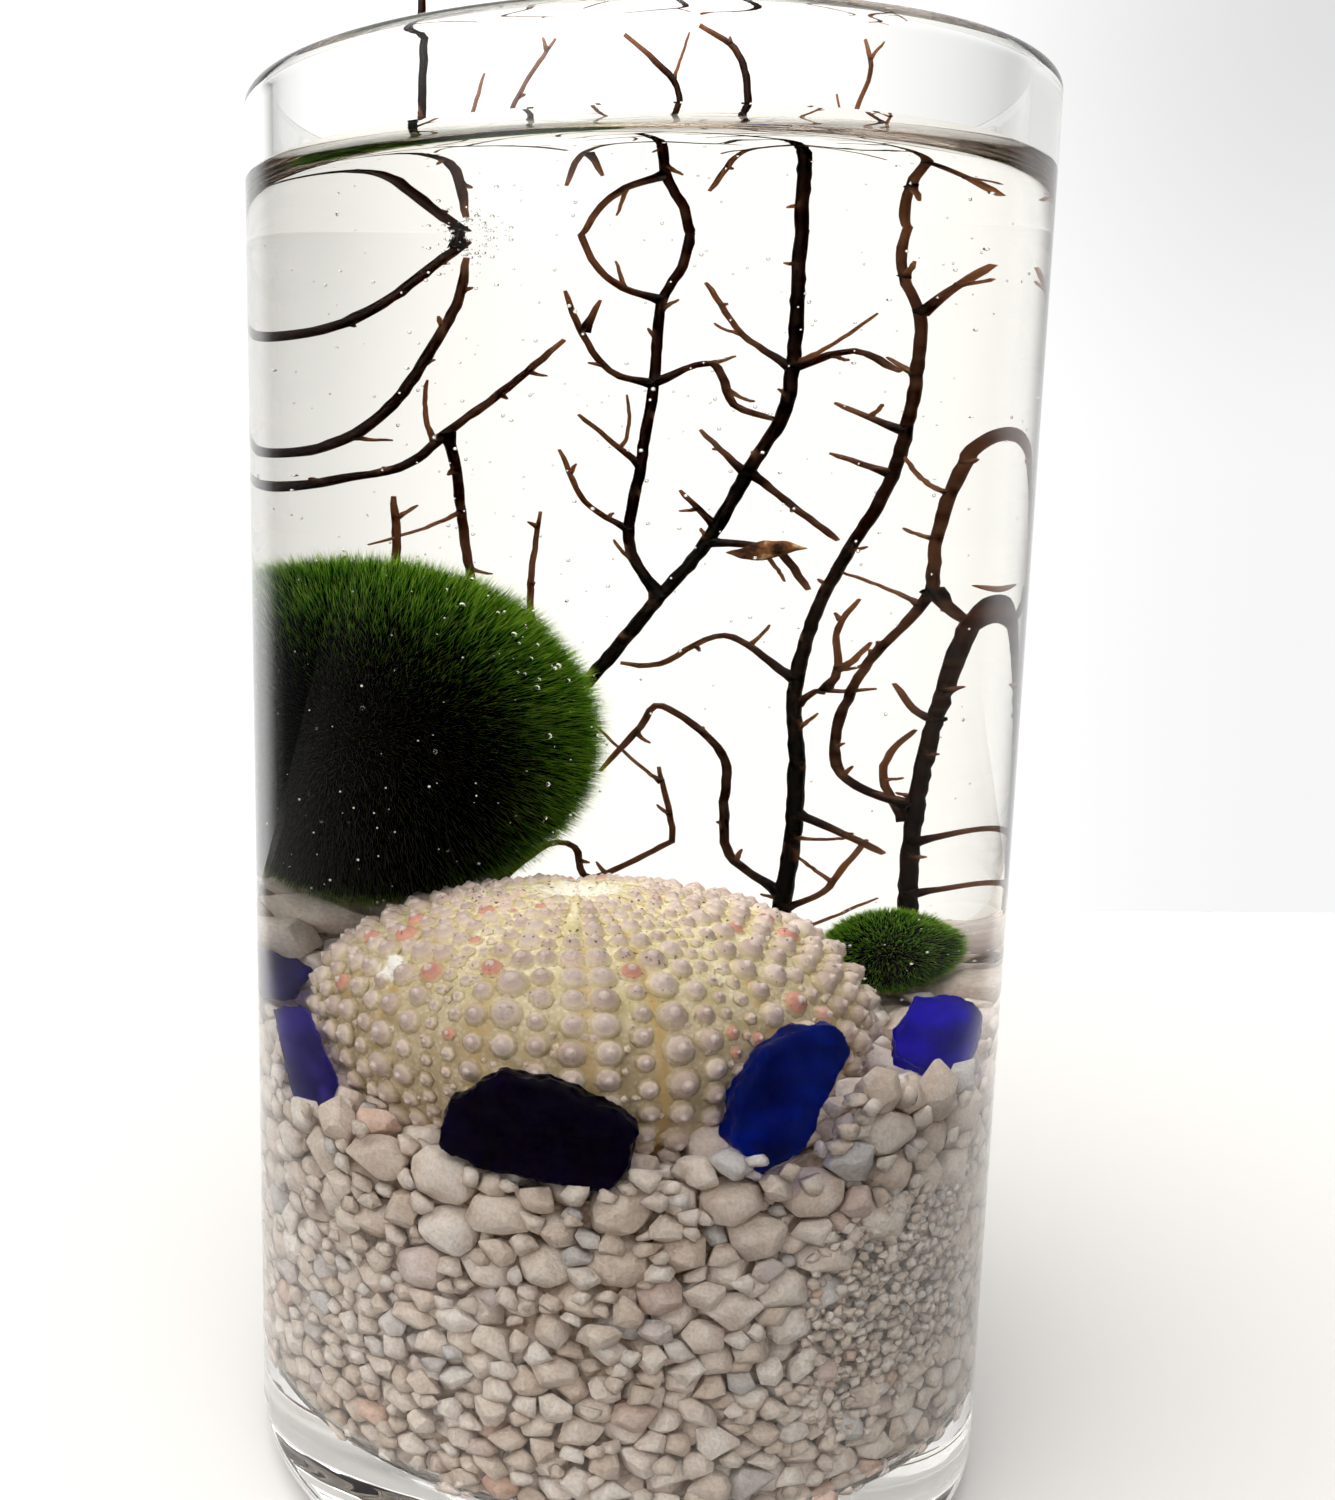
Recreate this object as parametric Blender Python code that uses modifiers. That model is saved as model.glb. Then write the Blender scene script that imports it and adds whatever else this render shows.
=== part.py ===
"""Moss balls in a clear cylinder vase, with water, white gravel, a sea urchin shell,
five pieces of blue sea glass and a black sea fan that stands along the back wall.

Sizes are in millimetres and MM turns them to metres. The vase stands on z = 0 with its
axis on the z axis, and the front of the arrangement faces -Y.
"""

from math import atan2, cos, exp, hypot, pi, radians, sin, sqrt

import bmesh
import bpy
from mathutils import Matrix, Vector, noise

MM = 0.001
GAP = 0.3                    # clearance kept between pieces that touch

# vase
VASE_RADIUS = 42.5
VASE_HEIGHT = 152.0
WALL = 3.0
FLOOR = 11.4                 # top of the thick glass base
FLOOR_FILLET = 4.0
BASE_EDGE = 5.0              # rounding of the outer bottom edge
VASE_STEPS = 48
INNER_RADIUS = VASE_RADIUS - WALL
FILL_RADIUS = INNER_RADIUS - GAP

# water and gravel
WATER_LEVEL = 141.15
GRAVEL_FRONT = 47.8
GRAVEL_BACK = 59.0
BANK_START = -15.0           # the bed rises to the back between these two values of y
BANK_END = 32.0
RISE_HEIGHT = 7.0            # the extra height of the bed at its front right
MOUND = (-25.0, 19.0)        # gravel heaped up under the large moss ball
MOUND_HEIGHT = 11.5
MOUND_SPREAD = 7.5
LUMP_SIZE = 6.0
LUMP_HEIGHT = 1.6
BED_RINGS = (8.0, 15.5, 23.0, 30.0, 35.5)
BED_STEPS = 32

# moss balls: centre, radius across and radius up
BALL_LARGE = ((-22.0, 8.0, 84.0), 20.0, 19.9)
BALL_SMALL = ((21.6, 12.0, 59.4), 5.5, 5.3)
BALL_LUMP = 0.35             # how far a ball's skin wanders from round
BALL_REACH = FILL_RADIUS - GAP   # the large ball is pressed flat where it meets the wall

# urchin shell
SHELL_CENTRE = (-3.0, -9.3, 55.4)
SHELL_RADIUS = 24.3
SHELL_HALF_HEIGHT = 15.0
SHELL_LEAN = 3.0             # degrees, towards -X
SHELL_COLUMNS = 54           # a knob stands on every second point of this grid
SHELL_ROWS = 16
KNOBLESS_ROWS = 2            # rows without knobs round each opening
KNOB_HEIGHT = 0.75
CROWN_DEPTH = 1.6            # the openings at its top and bottom are shallow pits

# the hollows that the balls and the shell lie in: coarse, so they are cut a little larger
NEST_COLUMNS = 24
NEST_ROWS = 10
NEST_SAG = 0.018             # how far its flats fall inside a ball of radius 1

# sea fan
FAN_RADIUS = 37.9            # distance of its stems from the vase's axis
FAN_SLOT_INNER = 36.3        # the water and the bed leave it this slot along the wall
FAN_SLOT_TURN = (-54.0, 56.0)
ROOT_SLOT_TURN = (-19.0, 38.0)
ROOT_LEVEL = 51.8
ROOT_RADIUS = 1.1
STEM_FOOT = ROOT_LEVEL + ROOT_RADIUS + 0.4


# ---------------------------------------------------------------- helpers

def start_clean():
    """Empty the scene, and make one collection for the parts and one for the cutters."""
    for obj in list(bpy.data.objects):
        bpy.data.objects.remove(obj, do_unlink=True)
    found = []
    for name in ("moss_ball_vase", "cutters"):
        group = bpy.data.collections.new(name)
        bpy.context.scene.collection.children.link(group)
        found.append(group)
    return found


PARTS, CUTTERS = start_clean()


def material(name, colour, roughness, metallic=0.0, transmission=0.0, ior=1.5):
    """A Principled material with the part's own colour and finish."""
    made = bpy.data.materials.new(name)
    made.use_nodes = True
    shader = made.node_tree.nodes["Principled BSDF"]
    shader.inputs["Base Color"].default_value = (*colour, 1.0)
    shader.inputs["Roughness"].default_value = roughness
    shader.inputs["Metallic"].default_value = metallic
    shader.inputs["Transmission Weight"].default_value = transmission
    shader.inputs["IOR"].default_value = ior
    return made


CLEAR_GLASS = material("clear glass", (0.95, 0.98, 0.97), 0.02, transmission=1.0)
WATER = material("water", (0.97, 0.99, 0.99), 0.0, transmission=1.0, ior=1.333)
STONE = material("crushed white stone", (0.72, 0.68, 0.62), 0.9)
MOSS = material("moss", (0.02, 0.09, 0.01), 0.95)
URCHIN = material("urchin shell", (0.62, 0.55, 0.45), 0.7)
FAN = material("sea fan horn", (0.03, 0.015, 0.01), 0.5)


def add_mesh(name, bm, finish, collection=None):
    """Turn a bmesh in millimetres into a smooth-shaded object in metres."""
    bmesh.ops.scale(bm, vec=(MM, MM, MM), verts=bm.verts)
    mesh = bpy.data.meshes.new(name)
    bm.to_mesh(mesh)
    bm.free()
    mesh.materials.append(finish)
    mesh.shade_smooth()
    mesh.set_sharp_from_angle(angle=radians(40))
    obj = bpy.data.objects.new(name, mesh)
    (collection or PARTS).objects.link(obj)
    return obj


def as_cutter(obj):
    """Leave the object out of the model and use it to cut others."""
    obj.hide_render = True
    obj.display_type = "WIRE"
    return obj


def boolean(obj, other, operation):
    step = obj.modifiers.new(operation.lower() + " " + other.name, "BOOLEAN")
    step.operation = operation
    step.object = other
    step.solver = "EXACT"


def evaluated_mesh(obj):
    bpy.context.view_layer.update()
    ready = obj.evaluated_get(bpy.context.evaluated_depsgraph_get())
    return bpy.data.meshes.new_from_object(ready)


def largest_body(bm):
    """Delete every connected body of the mesh but the one with most vertices."""
    waiting = set(bm.verts)
    bodies = []
    while waiting:
        front = [waiting.pop()]
        body = set(front)
        while front:
            vertex = front.pop()
            for edge in vertex.link_edges:
                other = edge.other_vert(vertex)
                if other in waiting:
                    waiting.remove(other)
                    body.add(other)
                    front.append(other)
        bodies.append(body)
    bodies.sort(key=len)
    for body in bodies[:-1]:
        bmesh.ops.delete(bm, geom=list(body), context="VERTS")


def settle(obj):
    """Apply the object's cuts, and drop the loose scraps that they leave."""
    mesh = evaluated_mesh(obj)
    obj.modifiers.clear()
    obj.data = mesh
    bm = bmesh.new()
    bm.from_mesh(mesh)
    largest_body(bm)
    bmesh.ops.triangulate(bm, faces=bm.faces)
    bm.to_mesh(mesh)
    bm.free()
    mesh.set_sharp_from_angle(angle=radians(40))


def smooth_step(value):
    held = min(1.0, max(0.0, value))
    return held * held * (3.0 - 2.0 * held)


def arc(centre_x, centre_z, radius, start, end, steps):
    """Points (x, z) on an arc, from one angle to another, in degrees."""
    turns = [radians(start + (end - start) * i / steps) for i in range(steps + 1)]
    return [(centre_x + radius * cos(a), centre_z + radius * sin(a)) for a in turns]


def ball(centre, across, up, columns, rows):
    """A bmesh ball of the given radii, in millimetres."""
    bm = bmesh.new()
    bmesh.ops.create_uvsphere(bm, u_segments=columns, v_segments=rows, radius=1.0)
    bmesh.ops.scale(bm, vec=(across, across, up), verts=bm.verts)
    bmesh.ops.translate(bm, vec=centre, verts=bm.verts)
    return bm


# ---------------------------------------------------------------- vase, water, gravel

def make_vase():
    """A turned profile: inner floor, inner wall, rim bead, outer wall, base edge."""
    rim = WALL / 2
    points = [(0.0, FLOOR)]
    points += arc(INNER_RADIUS - FLOOR_FILLET, FLOOR + FLOOR_FILLET, FLOOR_FILLET, -90, 0, 2)
    points += arc(VASE_RADIUS - rim, VASE_HEIGHT - rim, rim, 180, 0, 4)
    points += arc(VASE_RADIUS - BASE_EDGE, BASE_EDGE, BASE_EDGE, 0, -90, 3)
    points.append((0.0, 0.0))
    bm = bmesh.new()
    line = [bm.verts.new((x, 0.0, z)) for x, z in points]
    for first, second in zip(line, line[1:]):
        bm.edges.new((first, second))
    vase = add_mesh("glass_vase", bm, CLEAR_GLASS)
    turn = vase.modifiers.new("turned", "SCREW")
    turn.steps = VASE_STEPS
    turn.render_steps = VASE_STEPS
    turn.use_merge_vertices = True
    turn.merge_threshold = 0.0001


def gravel_top(x, y):
    """Height of the bed: banked up to the back, raised at the front right, heaped at the mound."""
    bank = smooth_step((y - BANK_START) / (BANK_END - BANK_START))
    rise = smooth_step((x - 2.0) / 24.0) * (1.0 - smooth_step((y + 28.0) / 26.0))
    away = ((x - MOUND[0]) ** 2 + (y - MOUND[1]) ** 2) / (2.0 * MOUND_SPREAD ** 2)
    lumps = LUMP_HEIGHT * noise.noise(Vector((x / LUMP_SIZE, y / LUMP_SIZE, 0.5)))
    return (GRAVEL_FRONT + (GRAVEL_BACK - GRAVEL_FRONT) * bank + RISE_HEIGHT * rise
            + MOUND_HEIGHT * exp(-away) + lumps)


def turned_fill(rest_of_profile, lift):
    """Spin a profile that starts along the gravel's surface, which is then laid in its place."""
    marked = 0.5 * (GRAVEL_FRONT + GRAVEL_BACK)
    surface = [(radius, marked) for radius in (0.0, *BED_RINGS, FILL_RADIUS)]
    bm = bmesh.new()
    line = [bm.verts.new((x, 0.0, z)) for x, z in surface + rest_of_profile]
    edges = [bm.edges.new(pair) for pair in zip(line, line[1:])]
    bmesh.ops.spin(bm, geom=line + edges, axis=(0, 0, 1), cent=(0, 0, 0), dvec=(0, 0, 0),
                   angle=2 * pi, steps=BED_STEPS, use_merge=True)
    bmesh.ops.remove_doubles(bm, verts=bm.verts, dist=0.01)
    bmesh.ops.triangulate(bm, faces=bm.faces, quad_method="FIXED")
    bmesh.ops.recalc_face_normals(bm, faces=bm.faces)
    for vertex in bm.verts:
        if abs(vertex.co.z - marked) < 0.01:
            vertex.co.z = gravel_top(vertex.co.x, vertex.co.y) + lift
    return bm


def make_gravel():
    fillet = arc(INNER_RADIUS - FLOOR_FILLET, FLOOR + FLOOR_FILLET, FLOOR_FILLET - GAP, 0, -90, 2)
    return add_mesh("gravel_bed", turned_fill(fillet + [(0.0, FLOOR + GAP)], 0.0), STONE)


def make_water():
    top = [(FILL_RADIUS, WATER_LEVEL), (0.0, WATER_LEVEL)]
    return add_mesh("water", turned_fill(top, GAP), WATER)


def wall_slot(name, turn, low, high):
    """A curved slot along the wall, from one angle to another, in degrees clockwise from +Y."""
    bm = bmesh.new()
    start = radians(90.0 - turn[0])
    corners = ((FAN_SLOT_INNER, low), (VASE_RADIUS, low), (VASE_RADIUS, high), (FAN_SLOT_INNER, high))
    bm.faces.new([bm.verts.new((r * cos(start), r * sin(start), z)) for r, z in corners])
    section = bm.verts[:] + bm.edges[:] + bm.faces[:]
    bmesh.ops.spin(bm, geom=section, axis=(0, 0, -1), cent=(0, 0, 0), dvec=(0, 0, 0),
                   angle=radians(turn[1] - turn[0]), steps=14, use_merge=False)
    bmesh.ops.recalc_face_normals(bm, faces=bm.faces)
    return as_cutter(add_mesh(name, bm, FAN, CUTTERS))


# ---------------------------------------------------------------- moss balls and shell

def roughen(bm, centre, amount):
    """Push a ball's points in and out a little, so that it isn't perfectly round."""
    middle = Vector(centre)
    for vertex in bm.verts:
        out = (vertex.co - middle).normalized()
        vertex.co += out * amount * noise.noise(out * 2.5)


def make_large_ball():
    """The big ball, pressed flat against the wall."""
    bm = ball(*BALL_LARGE, 22, 13)
    roughen(bm, BALL_LARGE[0], BALL_LUMP)
    for vertex in bm.verts:
        reach = hypot(vertex.co.x, vertex.co.y)
        if reach > BALL_REACH:
            vertex.co.x *= BALL_REACH / reach
            vertex.co.y *= BALL_REACH / reach
    return add_mesh("marimo_large", bm, MOSS)


def make_small_ball():
    bm = ball(*BALL_SMALL, 16, 9)
    roughen(bm, BALL_SMALL[0], BALL_LUMP)
    return add_mesh("marimo_small", bm, MOSS)


def make_shell():
    """A flattened ball with staggered rows of knobs, and a pit at its top and bottom."""
    bm = bmesh.new()
    bmesh.ops.create_uvsphere(bm, u_segments=SHELL_COLUMNS, v_segments=SHELL_ROWS, radius=1.0)
    for vertex in bm.verts:
        way = vertex.co.normalized()
        row = round(SHELL_ROWS * way.angle(Vector((0.0, 0.0, 1.0))) / pi)
        column = round(SHELL_COLUMNS * atan2(way.y, way.x) / (2 * pi))
        vertex.co = Vector((way.x * SHELL_RADIUS, way.y * SHELL_RADIUS, way.z * SHELL_HALF_HEIGHT))
        if row in (0, SHELL_ROWS):
            vertex.co.z -= CROWN_DEPTH * way.z
        elif KNOBLESS_ROWS < row < SHELL_ROWS - KNOBLESS_ROWS and (row + column) % 2:
            vertex.co += KNOB_HEIGHT * way
    shell = add_mesh("urchin_shell", bm, URCHIN)
    shell.location = Vector(SHELL_CENTRE) * MM
    shell.rotation_euler = (0.0, -radians(SHELL_LEAN), 0.0)
    return shell


def nest(name, centre, across, up, extra):
    """A coarse ball a little larger than a piece, which cuts the hollow that the piece lies in."""
    hollow = ball((0.0, 0.0, 0.0), across + extra, up + extra, NEST_COLUMNS, NEST_ROWS)
    cutter = as_cutter(add_mesh(name, hollow, MOSS, CUTTERS))
    cutter.location = Vector(centre) * MM
    return cutter


# ---------------------------------------------------------------- sea glass

# Name, colour, centre, turn to face outwards, lean back, thickness, outline across and up.
# Turn and lean are in degrees, and the outline is seen from the side that the piece faces.
SEA_GLASS = (
    ("sea_glass_front", (0.005, 0.006, 0.05), (-7.1, -35.75, 51.5), -11.2, 0.0, 3.1,
     ((-9.6, -2.9), (-8.6, 1.8), (-3.6, 5.6), (2.0, 5.2), (7.6, 3.0), (9.3, 1.6),
      (8.6, -2.9), (6.9, -5.2), (-5.4, -4.5))),
    ("sea_glass_front_right", (0.005, 0.03, 0.25), (15.3, -32.0, 54.6), 25.3, 9.0, 3.4,
     ((-6.4, -3.2), (-5.6, 1.0), (-2.8, 5.0), (0.6, 6.9), (4.4, 7.0), (6.4, 4.0),
      (3.8, -0.1), (1.5, -4.6), (-0.6, -6.1), (-3.4, -7.0))),
    ("sea_glass_right", (0.02, 0.02, 0.45), (28.2, -10.4, 54.6), 8.0, 38.0, 3.0,
     ((-4.6, 0.4), (-2.4, 4.7), (2.0, 4.3), (5.4, 1.4), (3.6, -5.4), (-1.2, -4.0), (-4.4, -2.4))),
    ("sea_glass_left", (0.03, 0.02, 0.22), (-30.6, -16.6, 50.9), -27.0, 22.0, 2.6,
     ((-5.0, 3.8), (0.2, 5.6), (2.2, 3.0), (5.2, -1.8), (4.2, -5.2), (0.0, -5.4), (-2.6, -0.6))),
    ("sea_glass_back_left", (0.03, 0.02, 0.22), (-30.6, 2.2, 54.3), -18.0, 18.0, 2.8,
     ((-4.8, -2.6), (-4.4, 2.4), (2.6, 3.2), (4.0, 2.2), (3.4, 0.0), (2.8, -1.8), (-1.0, -3.2))),
)


def outline_curve(name, outline, thickness, offset, collection):
    """A flat outline, thickened, as a filled 2D curve."""
    curve = bpy.data.curves.new(name, "CURVE")
    curve.dimensions = "2D"
    curve.fill_mode = "BOTH"
    curve.extrude = (thickness / 2 + offset) * MM
    curve.offset = offset * MM
    spline = curve.splines.new("POLY")
    spline.points.add(len(outline) - 1)
    for point, (across, up) in zip(spline.points, outline):
        point.co = (across * MM, up * MM, 0.0, 1.0)
    spline.use_cyclic_u = True
    obj = bpy.data.objects.new(name, curve)
    collection.objects.link(obj)
    return obj


def curve_to_mesh(obj, finish):
    """Swap a curve for the same shape as a closed mesh."""
    mesh = evaluated_mesh(obj)
    bm = bmesh.new()
    bm.from_mesh(mesh)
    bmesh.ops.remove_doubles(bm, verts=bm.verts, dist=0.01 * MM)
    bmesh.ops.recalc_face_normals(bm, faces=bm.faces)
    bm.to_mesh(mesh)
    bm.free()
    mesh.materials.clear()
    mesh.materials.append(finish)
    name = obj.name
    swapped = bpy.data.objects.new(name + "_mesh", mesh)
    obj.users_collection[0].objects.link(swapped)
    swapped.matrix_world = obj.matrix_world
    bpy.data.objects.remove(obj, do_unlink=True)
    swapped.name = name
    return swapped


def make_sea_glass():
    """The five worn pieces, and the cutters for the hollows that they lie in."""
    nests = []
    for name, colour, centre, turn, lean, thickness, outline in SEA_GLASS:
        finish = material(name.replace("_", " "), colour, 0.35, transmission=0.6)
        place = (Matrix.Translation(Vector(centre) * MM)
                 @ Matrix.Rotation(radians(turn), 4, "Z")
                 @ Matrix.Rotation(radians(90.0 - lean), 4, "X"))
        piece = outline_curve(name, outline, thickness, 0.0, PARTS)
        piece.matrix_world = place
        piece = curve_to_mesh(piece, finish)
        worn = piece.modifiers.new("worn edges", "BEVEL")
        worn.width = 0.7 * MM
        worn.segments = 1
        worn.limit_method = "ANGLE"
        hollow = outline_curve("nest_" + name, outline, thickness, GAP, CUTTERS)
        hollow.matrix_world = place
        nests.append(as_cutter(curve_to_mesh(hollow, finish)))
    return nests


# ---------------------------------------------------------------- sea fan

# Each branch is its width at the foot and at the tip, then its path up the back wall as
# (x, z), foot first. A node's first branch is its stem, and the others grow out of it.
SEA_FAN = {
    "sea_fan_root": (
        (2.2, 2.2, ((-9.5, ROOT_LEVEL), (-4.0, ROOT_LEVEL), (2.0, ROOT_LEVEL), (8.0, ROOT_LEVEL),
                    (13.5, ROOT_LEVEL), (18.0, ROOT_LEVEL), (22.5, ROOT_LEVEL))),
    ),
    "sea_fan_right_stem": (
        (1.7, 0.8, ((21.5, STEM_FOOT), (21.5, 61), (21.7, 70), (22.4, 80), (23.3, 88), (24.3, 96),
                    (26, 101.5), (28.2, 109), (29.2, 119), (28.8, 131), (29.2, 143), (30, 154))),
        (1.1, 0.9, ((21.8, 73.5), (18.4, 75.6), (16.8, 78), (16.9, 83.6), (18.8, 91), (21.2, 96.2),
                    (22.4, 100), (22.6, 106), (23.4, 113), (24.4, 117.4), (26.5, 120.5), (29, 121))),
        (0.9, 0.8, ((22.4, 100), (24.2, 96))),
        (0.8, 0.7, ((28.9, 141), (26.8, 149), (26.4, 156), (28, 161), (27.3, 165))),
        (0.8, 0.6, ((21.8, 69), (25.5, 71.5))),
        (0.8, 0.6, ((21.6, 62.5), (25.5, 64.5))),
    ),
    "sea_fan_middle_stem": (
        (1.6, 0.8, ((13.3, STEM_FOOT), (13, 60), (13.7, 68), (13.9, 78.5), (13.6, 87), (14.9, 96.5),
                    (17.2, 104.5), (19.6, 112.3), (20.8, 122), (20.9, 131.4), (19.6, 137),
                    (20, 143), (22.5, 150), (24.7, 156), (24.4, 159.5))),
        (1.0, 0.8, ((13, 61.5), (8.9, 66), (8.3, 72), (8, 79), (3, 84.7), (1.2, 82), (-2.1, 76.2))),
        (0.9, 0.8, ((13.8, 72), (17.5, 69.5), (20.1, 67.4))),
        (0.8, 0.6, ((13.1, 59.5), (16, 62), (17.3, 65), (19, 69))),
        (0.9, 0.8, ((13.7, 88.5), (8, 93.7), (2.7, 90), (-0.6, 90))),
        (0.8, 0.6, ((19.9, 113.5), (15.5, 116))),
        (0.8, 0.6, ((20.5, 118.5), (15.7, 121.8))),
        (0.8, 0.6, ((20.9, 132), (24.2, 137.3))),
    ),
    "sea_fan_centre_stem": (
        (1.6, 0.8, ((-12.2, 70.2), (-9.5, 76), (-5.5, 84), (-1.9, 90.2), (2.5, 98.3), (6.1, 104.8),
                    (9.5, 114), (12, 121.1), (12.6, 130.5), (12.6, 141), (13.8, 158), (12.4, 166),
                    (7.3, 170))),
        (1.2, 0.8, ((2.5, 98.3), (-0.1, 104.7), (0.6, 114), (1.6, 124.7), (2, 133.6), (3.8, 139),
                    (4.6, 150), (4.9, 161.5), (1.5, 166), (-2.5, 169.3))),
        (0.9, 0.7, ((2, 134), (-1.8, 136), (-4.5, 141.2), (-7.6, 157.8))),
        (0.9, 0.7, ((1.6, 124.1), (-2.1, 125.7), (-4.6, 130.7), (-5.8, 135.1))),
        (0.8, 0.6, ((-4.3, 130.3), (-3, 134))),
        (0.9, 0.9, ((1.6, 124.4), (6.2, 126.5), (8.1, 121.7), (11.6, 119.8))),
        (0.9, 0.8, ((12.5, 126), (16.8, 127.8), (19.9, 125.4))),
        (0.9, 0.8, ((9.4, 113.8), (13.5, 109), (16.4, 105.6))),
        (1.0, 0.8, ((6.3, 105.2), (11.7, 104.3), (14.4, 99.6))),
        (0.8, 0.6, ((9.3, 113.4), (5.4, 118.7))),
        (0.8, 0.6, ((7, 107), (3.9, 111.5))),
        (0.8, 0.6, ((12.3, 126), (8.5, 130), (5.5, 136))),
        (0.8, 0.6, ((0.6, 114.5), (-4.6, 120.5))),
        (0.8, 0.6, ((0, 106.4), (-3.9, 110), (-6.1, 116.3))),
        (0.9, 0.6, ((-5.5, 84), (-7.6, 92), (-8.3, 99), (-7.6, 108.7))),
    ),
    "sea_fan_left_stem": (
        (2.0, 1.2, ((-8.5, STEM_FOOT), (-9.5, 60), (-13.5, 69), (-18.5, 79), (-22, 87), (-25.2, 96),
                    (-28, 108), (-28.6, 124), (-28.2, 140), (-28, 155), (-27.6, 168), (-26.5, 178))),
        (0.9, 0.7, ((-10.4, 62), (-6.5, 66.5), (-4.1, 66.3), (-2.7, 62.4), (3.1, 66.7),
                    (4.1, 68.7), (2.8, 77))),
        (0.9, 0.7, ((-21.5, 86), (-19.4, 95), (-18.8, 103.2), (-19, 110.5))),
        (0.8, 0.6, ((-28.1, 143), (-24.5, 150), (-22.7, 156), (-20.5, 163.5))),
    ),
    "sea_fan_upper_left_branch": (
        (1.2, 1.0, ((-27.1, 128.6), (-22.7, 130.7), (-19.1, 134), (-16.3, 137.6), (-13.4, 140.8))),
        (1.0, 0.7, ((-14.2, 140), (-14.4, 148), (-17.3, 157), (-15.8, 162), (-11.6, 168.5))),
    ),
    "sea_fan_mid_left_branch": (
        (1.2, 0.9, ((-27, 114.9), (-23.3, 116.4), (-19.5, 120.7), (-16.3, 128), (-14.2, 134),
                    (-13.6, 138.9))),
    ),
    "sea_fan_lower_left_branch": (
        (1.2, 0.8, ((-26.8, 110.6), (-22.8, 112.4), (-18.1, 114.3), (-14.8, 118.6), (-11, 122.9),
                    (-5.8, 129.4))),
        (1.0, 0.7, ((-15.2, 118.2), (-14.4, 113.7), (-13.2, 100.8), (-11.6, 90), (-9.6, 79))),
    ),
}
TWIG_WIDTH = 0.8             # branches up to this width at the foot have four sides, others six


def on_wall(x, z):
    """A point of the fan: it stands on a cylinder just inside the back wall."""
    return Vector((x, sqrt(FAN_RADIUS ** 2 - x ** 2), z)) * MM


def make_branch(name, foot, tip, path, collection):
    """A tapering tube along a path up the wall."""
    curve = bpy.data.curves.new(name, "CURVE")
    curve.dimensions = "3D"
    curve.bevel_depth = 1.0 * MM
    curve.bevel_resolution = 1 if foot > TWIG_WIDTH else 0
    curve.use_fill_caps = True
    spline = curve.splines.new("POLY")
    spline.points.add(len(path) - 1)
    for index, (point, (x, z)) in enumerate(zip(spline.points, path)):
        point.co = (*on_wall(x, z), 1.0)
        point.radius = (foot + (tip - foot) * index / (len(path) - 1)) / 2
    obj = bpy.data.objects.new(name, curve)
    collection.objects.link(obj)
    return curve_to_mesh(obj, FAN)


def make_sea_fan():
    """One node for each main fork, its branches joined in one solid."""
    for name, branches in SEA_FAN.items():
        stem = make_branch(name, *branches[0], PARTS)
        for number, branch in enumerate(branches[1:], start=1):
            side = as_cutter(make_branch(f"{name}_side_{number}", *branch, CUTTERS))
            boolean(stem, side, "UNION")
        if len(branches) > 1:
            settle(stem)


# ---------------------------------------------------------------- assembly

def main():
    make_vase()
    water = make_water()
    gravel = make_gravel()
    large = make_large_ball()
    make_small_ball()
    shell = make_shell()
    make_sea_fan()
    knobs = KNOB_HEIGHT + GAP + NEST_SAG * SHELL_RADIUS
    shell_nest = nest("nest_shell", SHELL_CENTRE, SHELL_RADIUS, SHELL_HALF_HEIGHT, knobs)
    shell_nest.rotation_euler = shell.rotation_euler
    nests = [shell_nest]
    for name, size in (("nest_marimo_large", BALL_LARGE), ("nest_marimo_small", BALL_SMALL)):
        nests.append(nest(name, *size, BALL_LUMP + GAP + NEST_SAG * size[1]))
    nests += make_sea_glass()
    root_low = ROOT_LEVEL - ROOT_RADIUS - GAP
    root_slot = wall_slot("slot_root", ROOT_SLOT_TURN, root_low, GRAVEL_BACK + 10.0)
    fan_slot = wall_slot("slot_fan", FAN_SLOT_TURN, root_low, WATER_LEVEL + 5.0)
    for hollow in nests + [root_slot]:
        boolean(gravel, hollow, "DIFFERENCE")
    for hollow in nests + [fan_slot]:
        boolean(water, hollow, "DIFFERENCE")
    boolean(large, shell_nest, "DIFFERENCE")
    for piece in (gravel, water, large):
        settle(piece)


main()
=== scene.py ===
"""Moss balls in a clear cylinder vase of water, with gravel, an urchin shell, sea glass and
a black sea fan: the finish of every piece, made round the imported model.

Sizes are written in millimetres, as in the model's own source, and MM turns them to metres.
"""

from math import atan2, cos, exp, hypot, inf, pi, radians, sin, sqrt
from random import Random

import bmesh
import bpy
import numpy as np
from mathutils import Euler, Matrix, Vector, kdtree, noise


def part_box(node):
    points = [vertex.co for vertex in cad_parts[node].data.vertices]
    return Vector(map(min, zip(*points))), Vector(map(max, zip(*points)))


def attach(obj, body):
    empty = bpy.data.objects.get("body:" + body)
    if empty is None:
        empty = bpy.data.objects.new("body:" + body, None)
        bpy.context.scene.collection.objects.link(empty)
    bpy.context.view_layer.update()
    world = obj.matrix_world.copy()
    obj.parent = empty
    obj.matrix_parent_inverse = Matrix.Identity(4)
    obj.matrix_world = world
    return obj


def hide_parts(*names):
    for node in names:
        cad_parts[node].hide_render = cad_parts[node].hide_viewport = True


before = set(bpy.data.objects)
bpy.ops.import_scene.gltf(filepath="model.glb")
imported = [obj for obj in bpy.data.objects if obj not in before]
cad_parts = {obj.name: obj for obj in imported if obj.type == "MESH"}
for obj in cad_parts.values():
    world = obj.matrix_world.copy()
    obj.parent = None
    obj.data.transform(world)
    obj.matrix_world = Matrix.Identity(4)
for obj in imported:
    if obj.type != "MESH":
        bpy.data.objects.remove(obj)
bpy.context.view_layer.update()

MM = 0.001
PER_MM = 1000.0              # pattern scales are written as features in a millimetre

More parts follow.
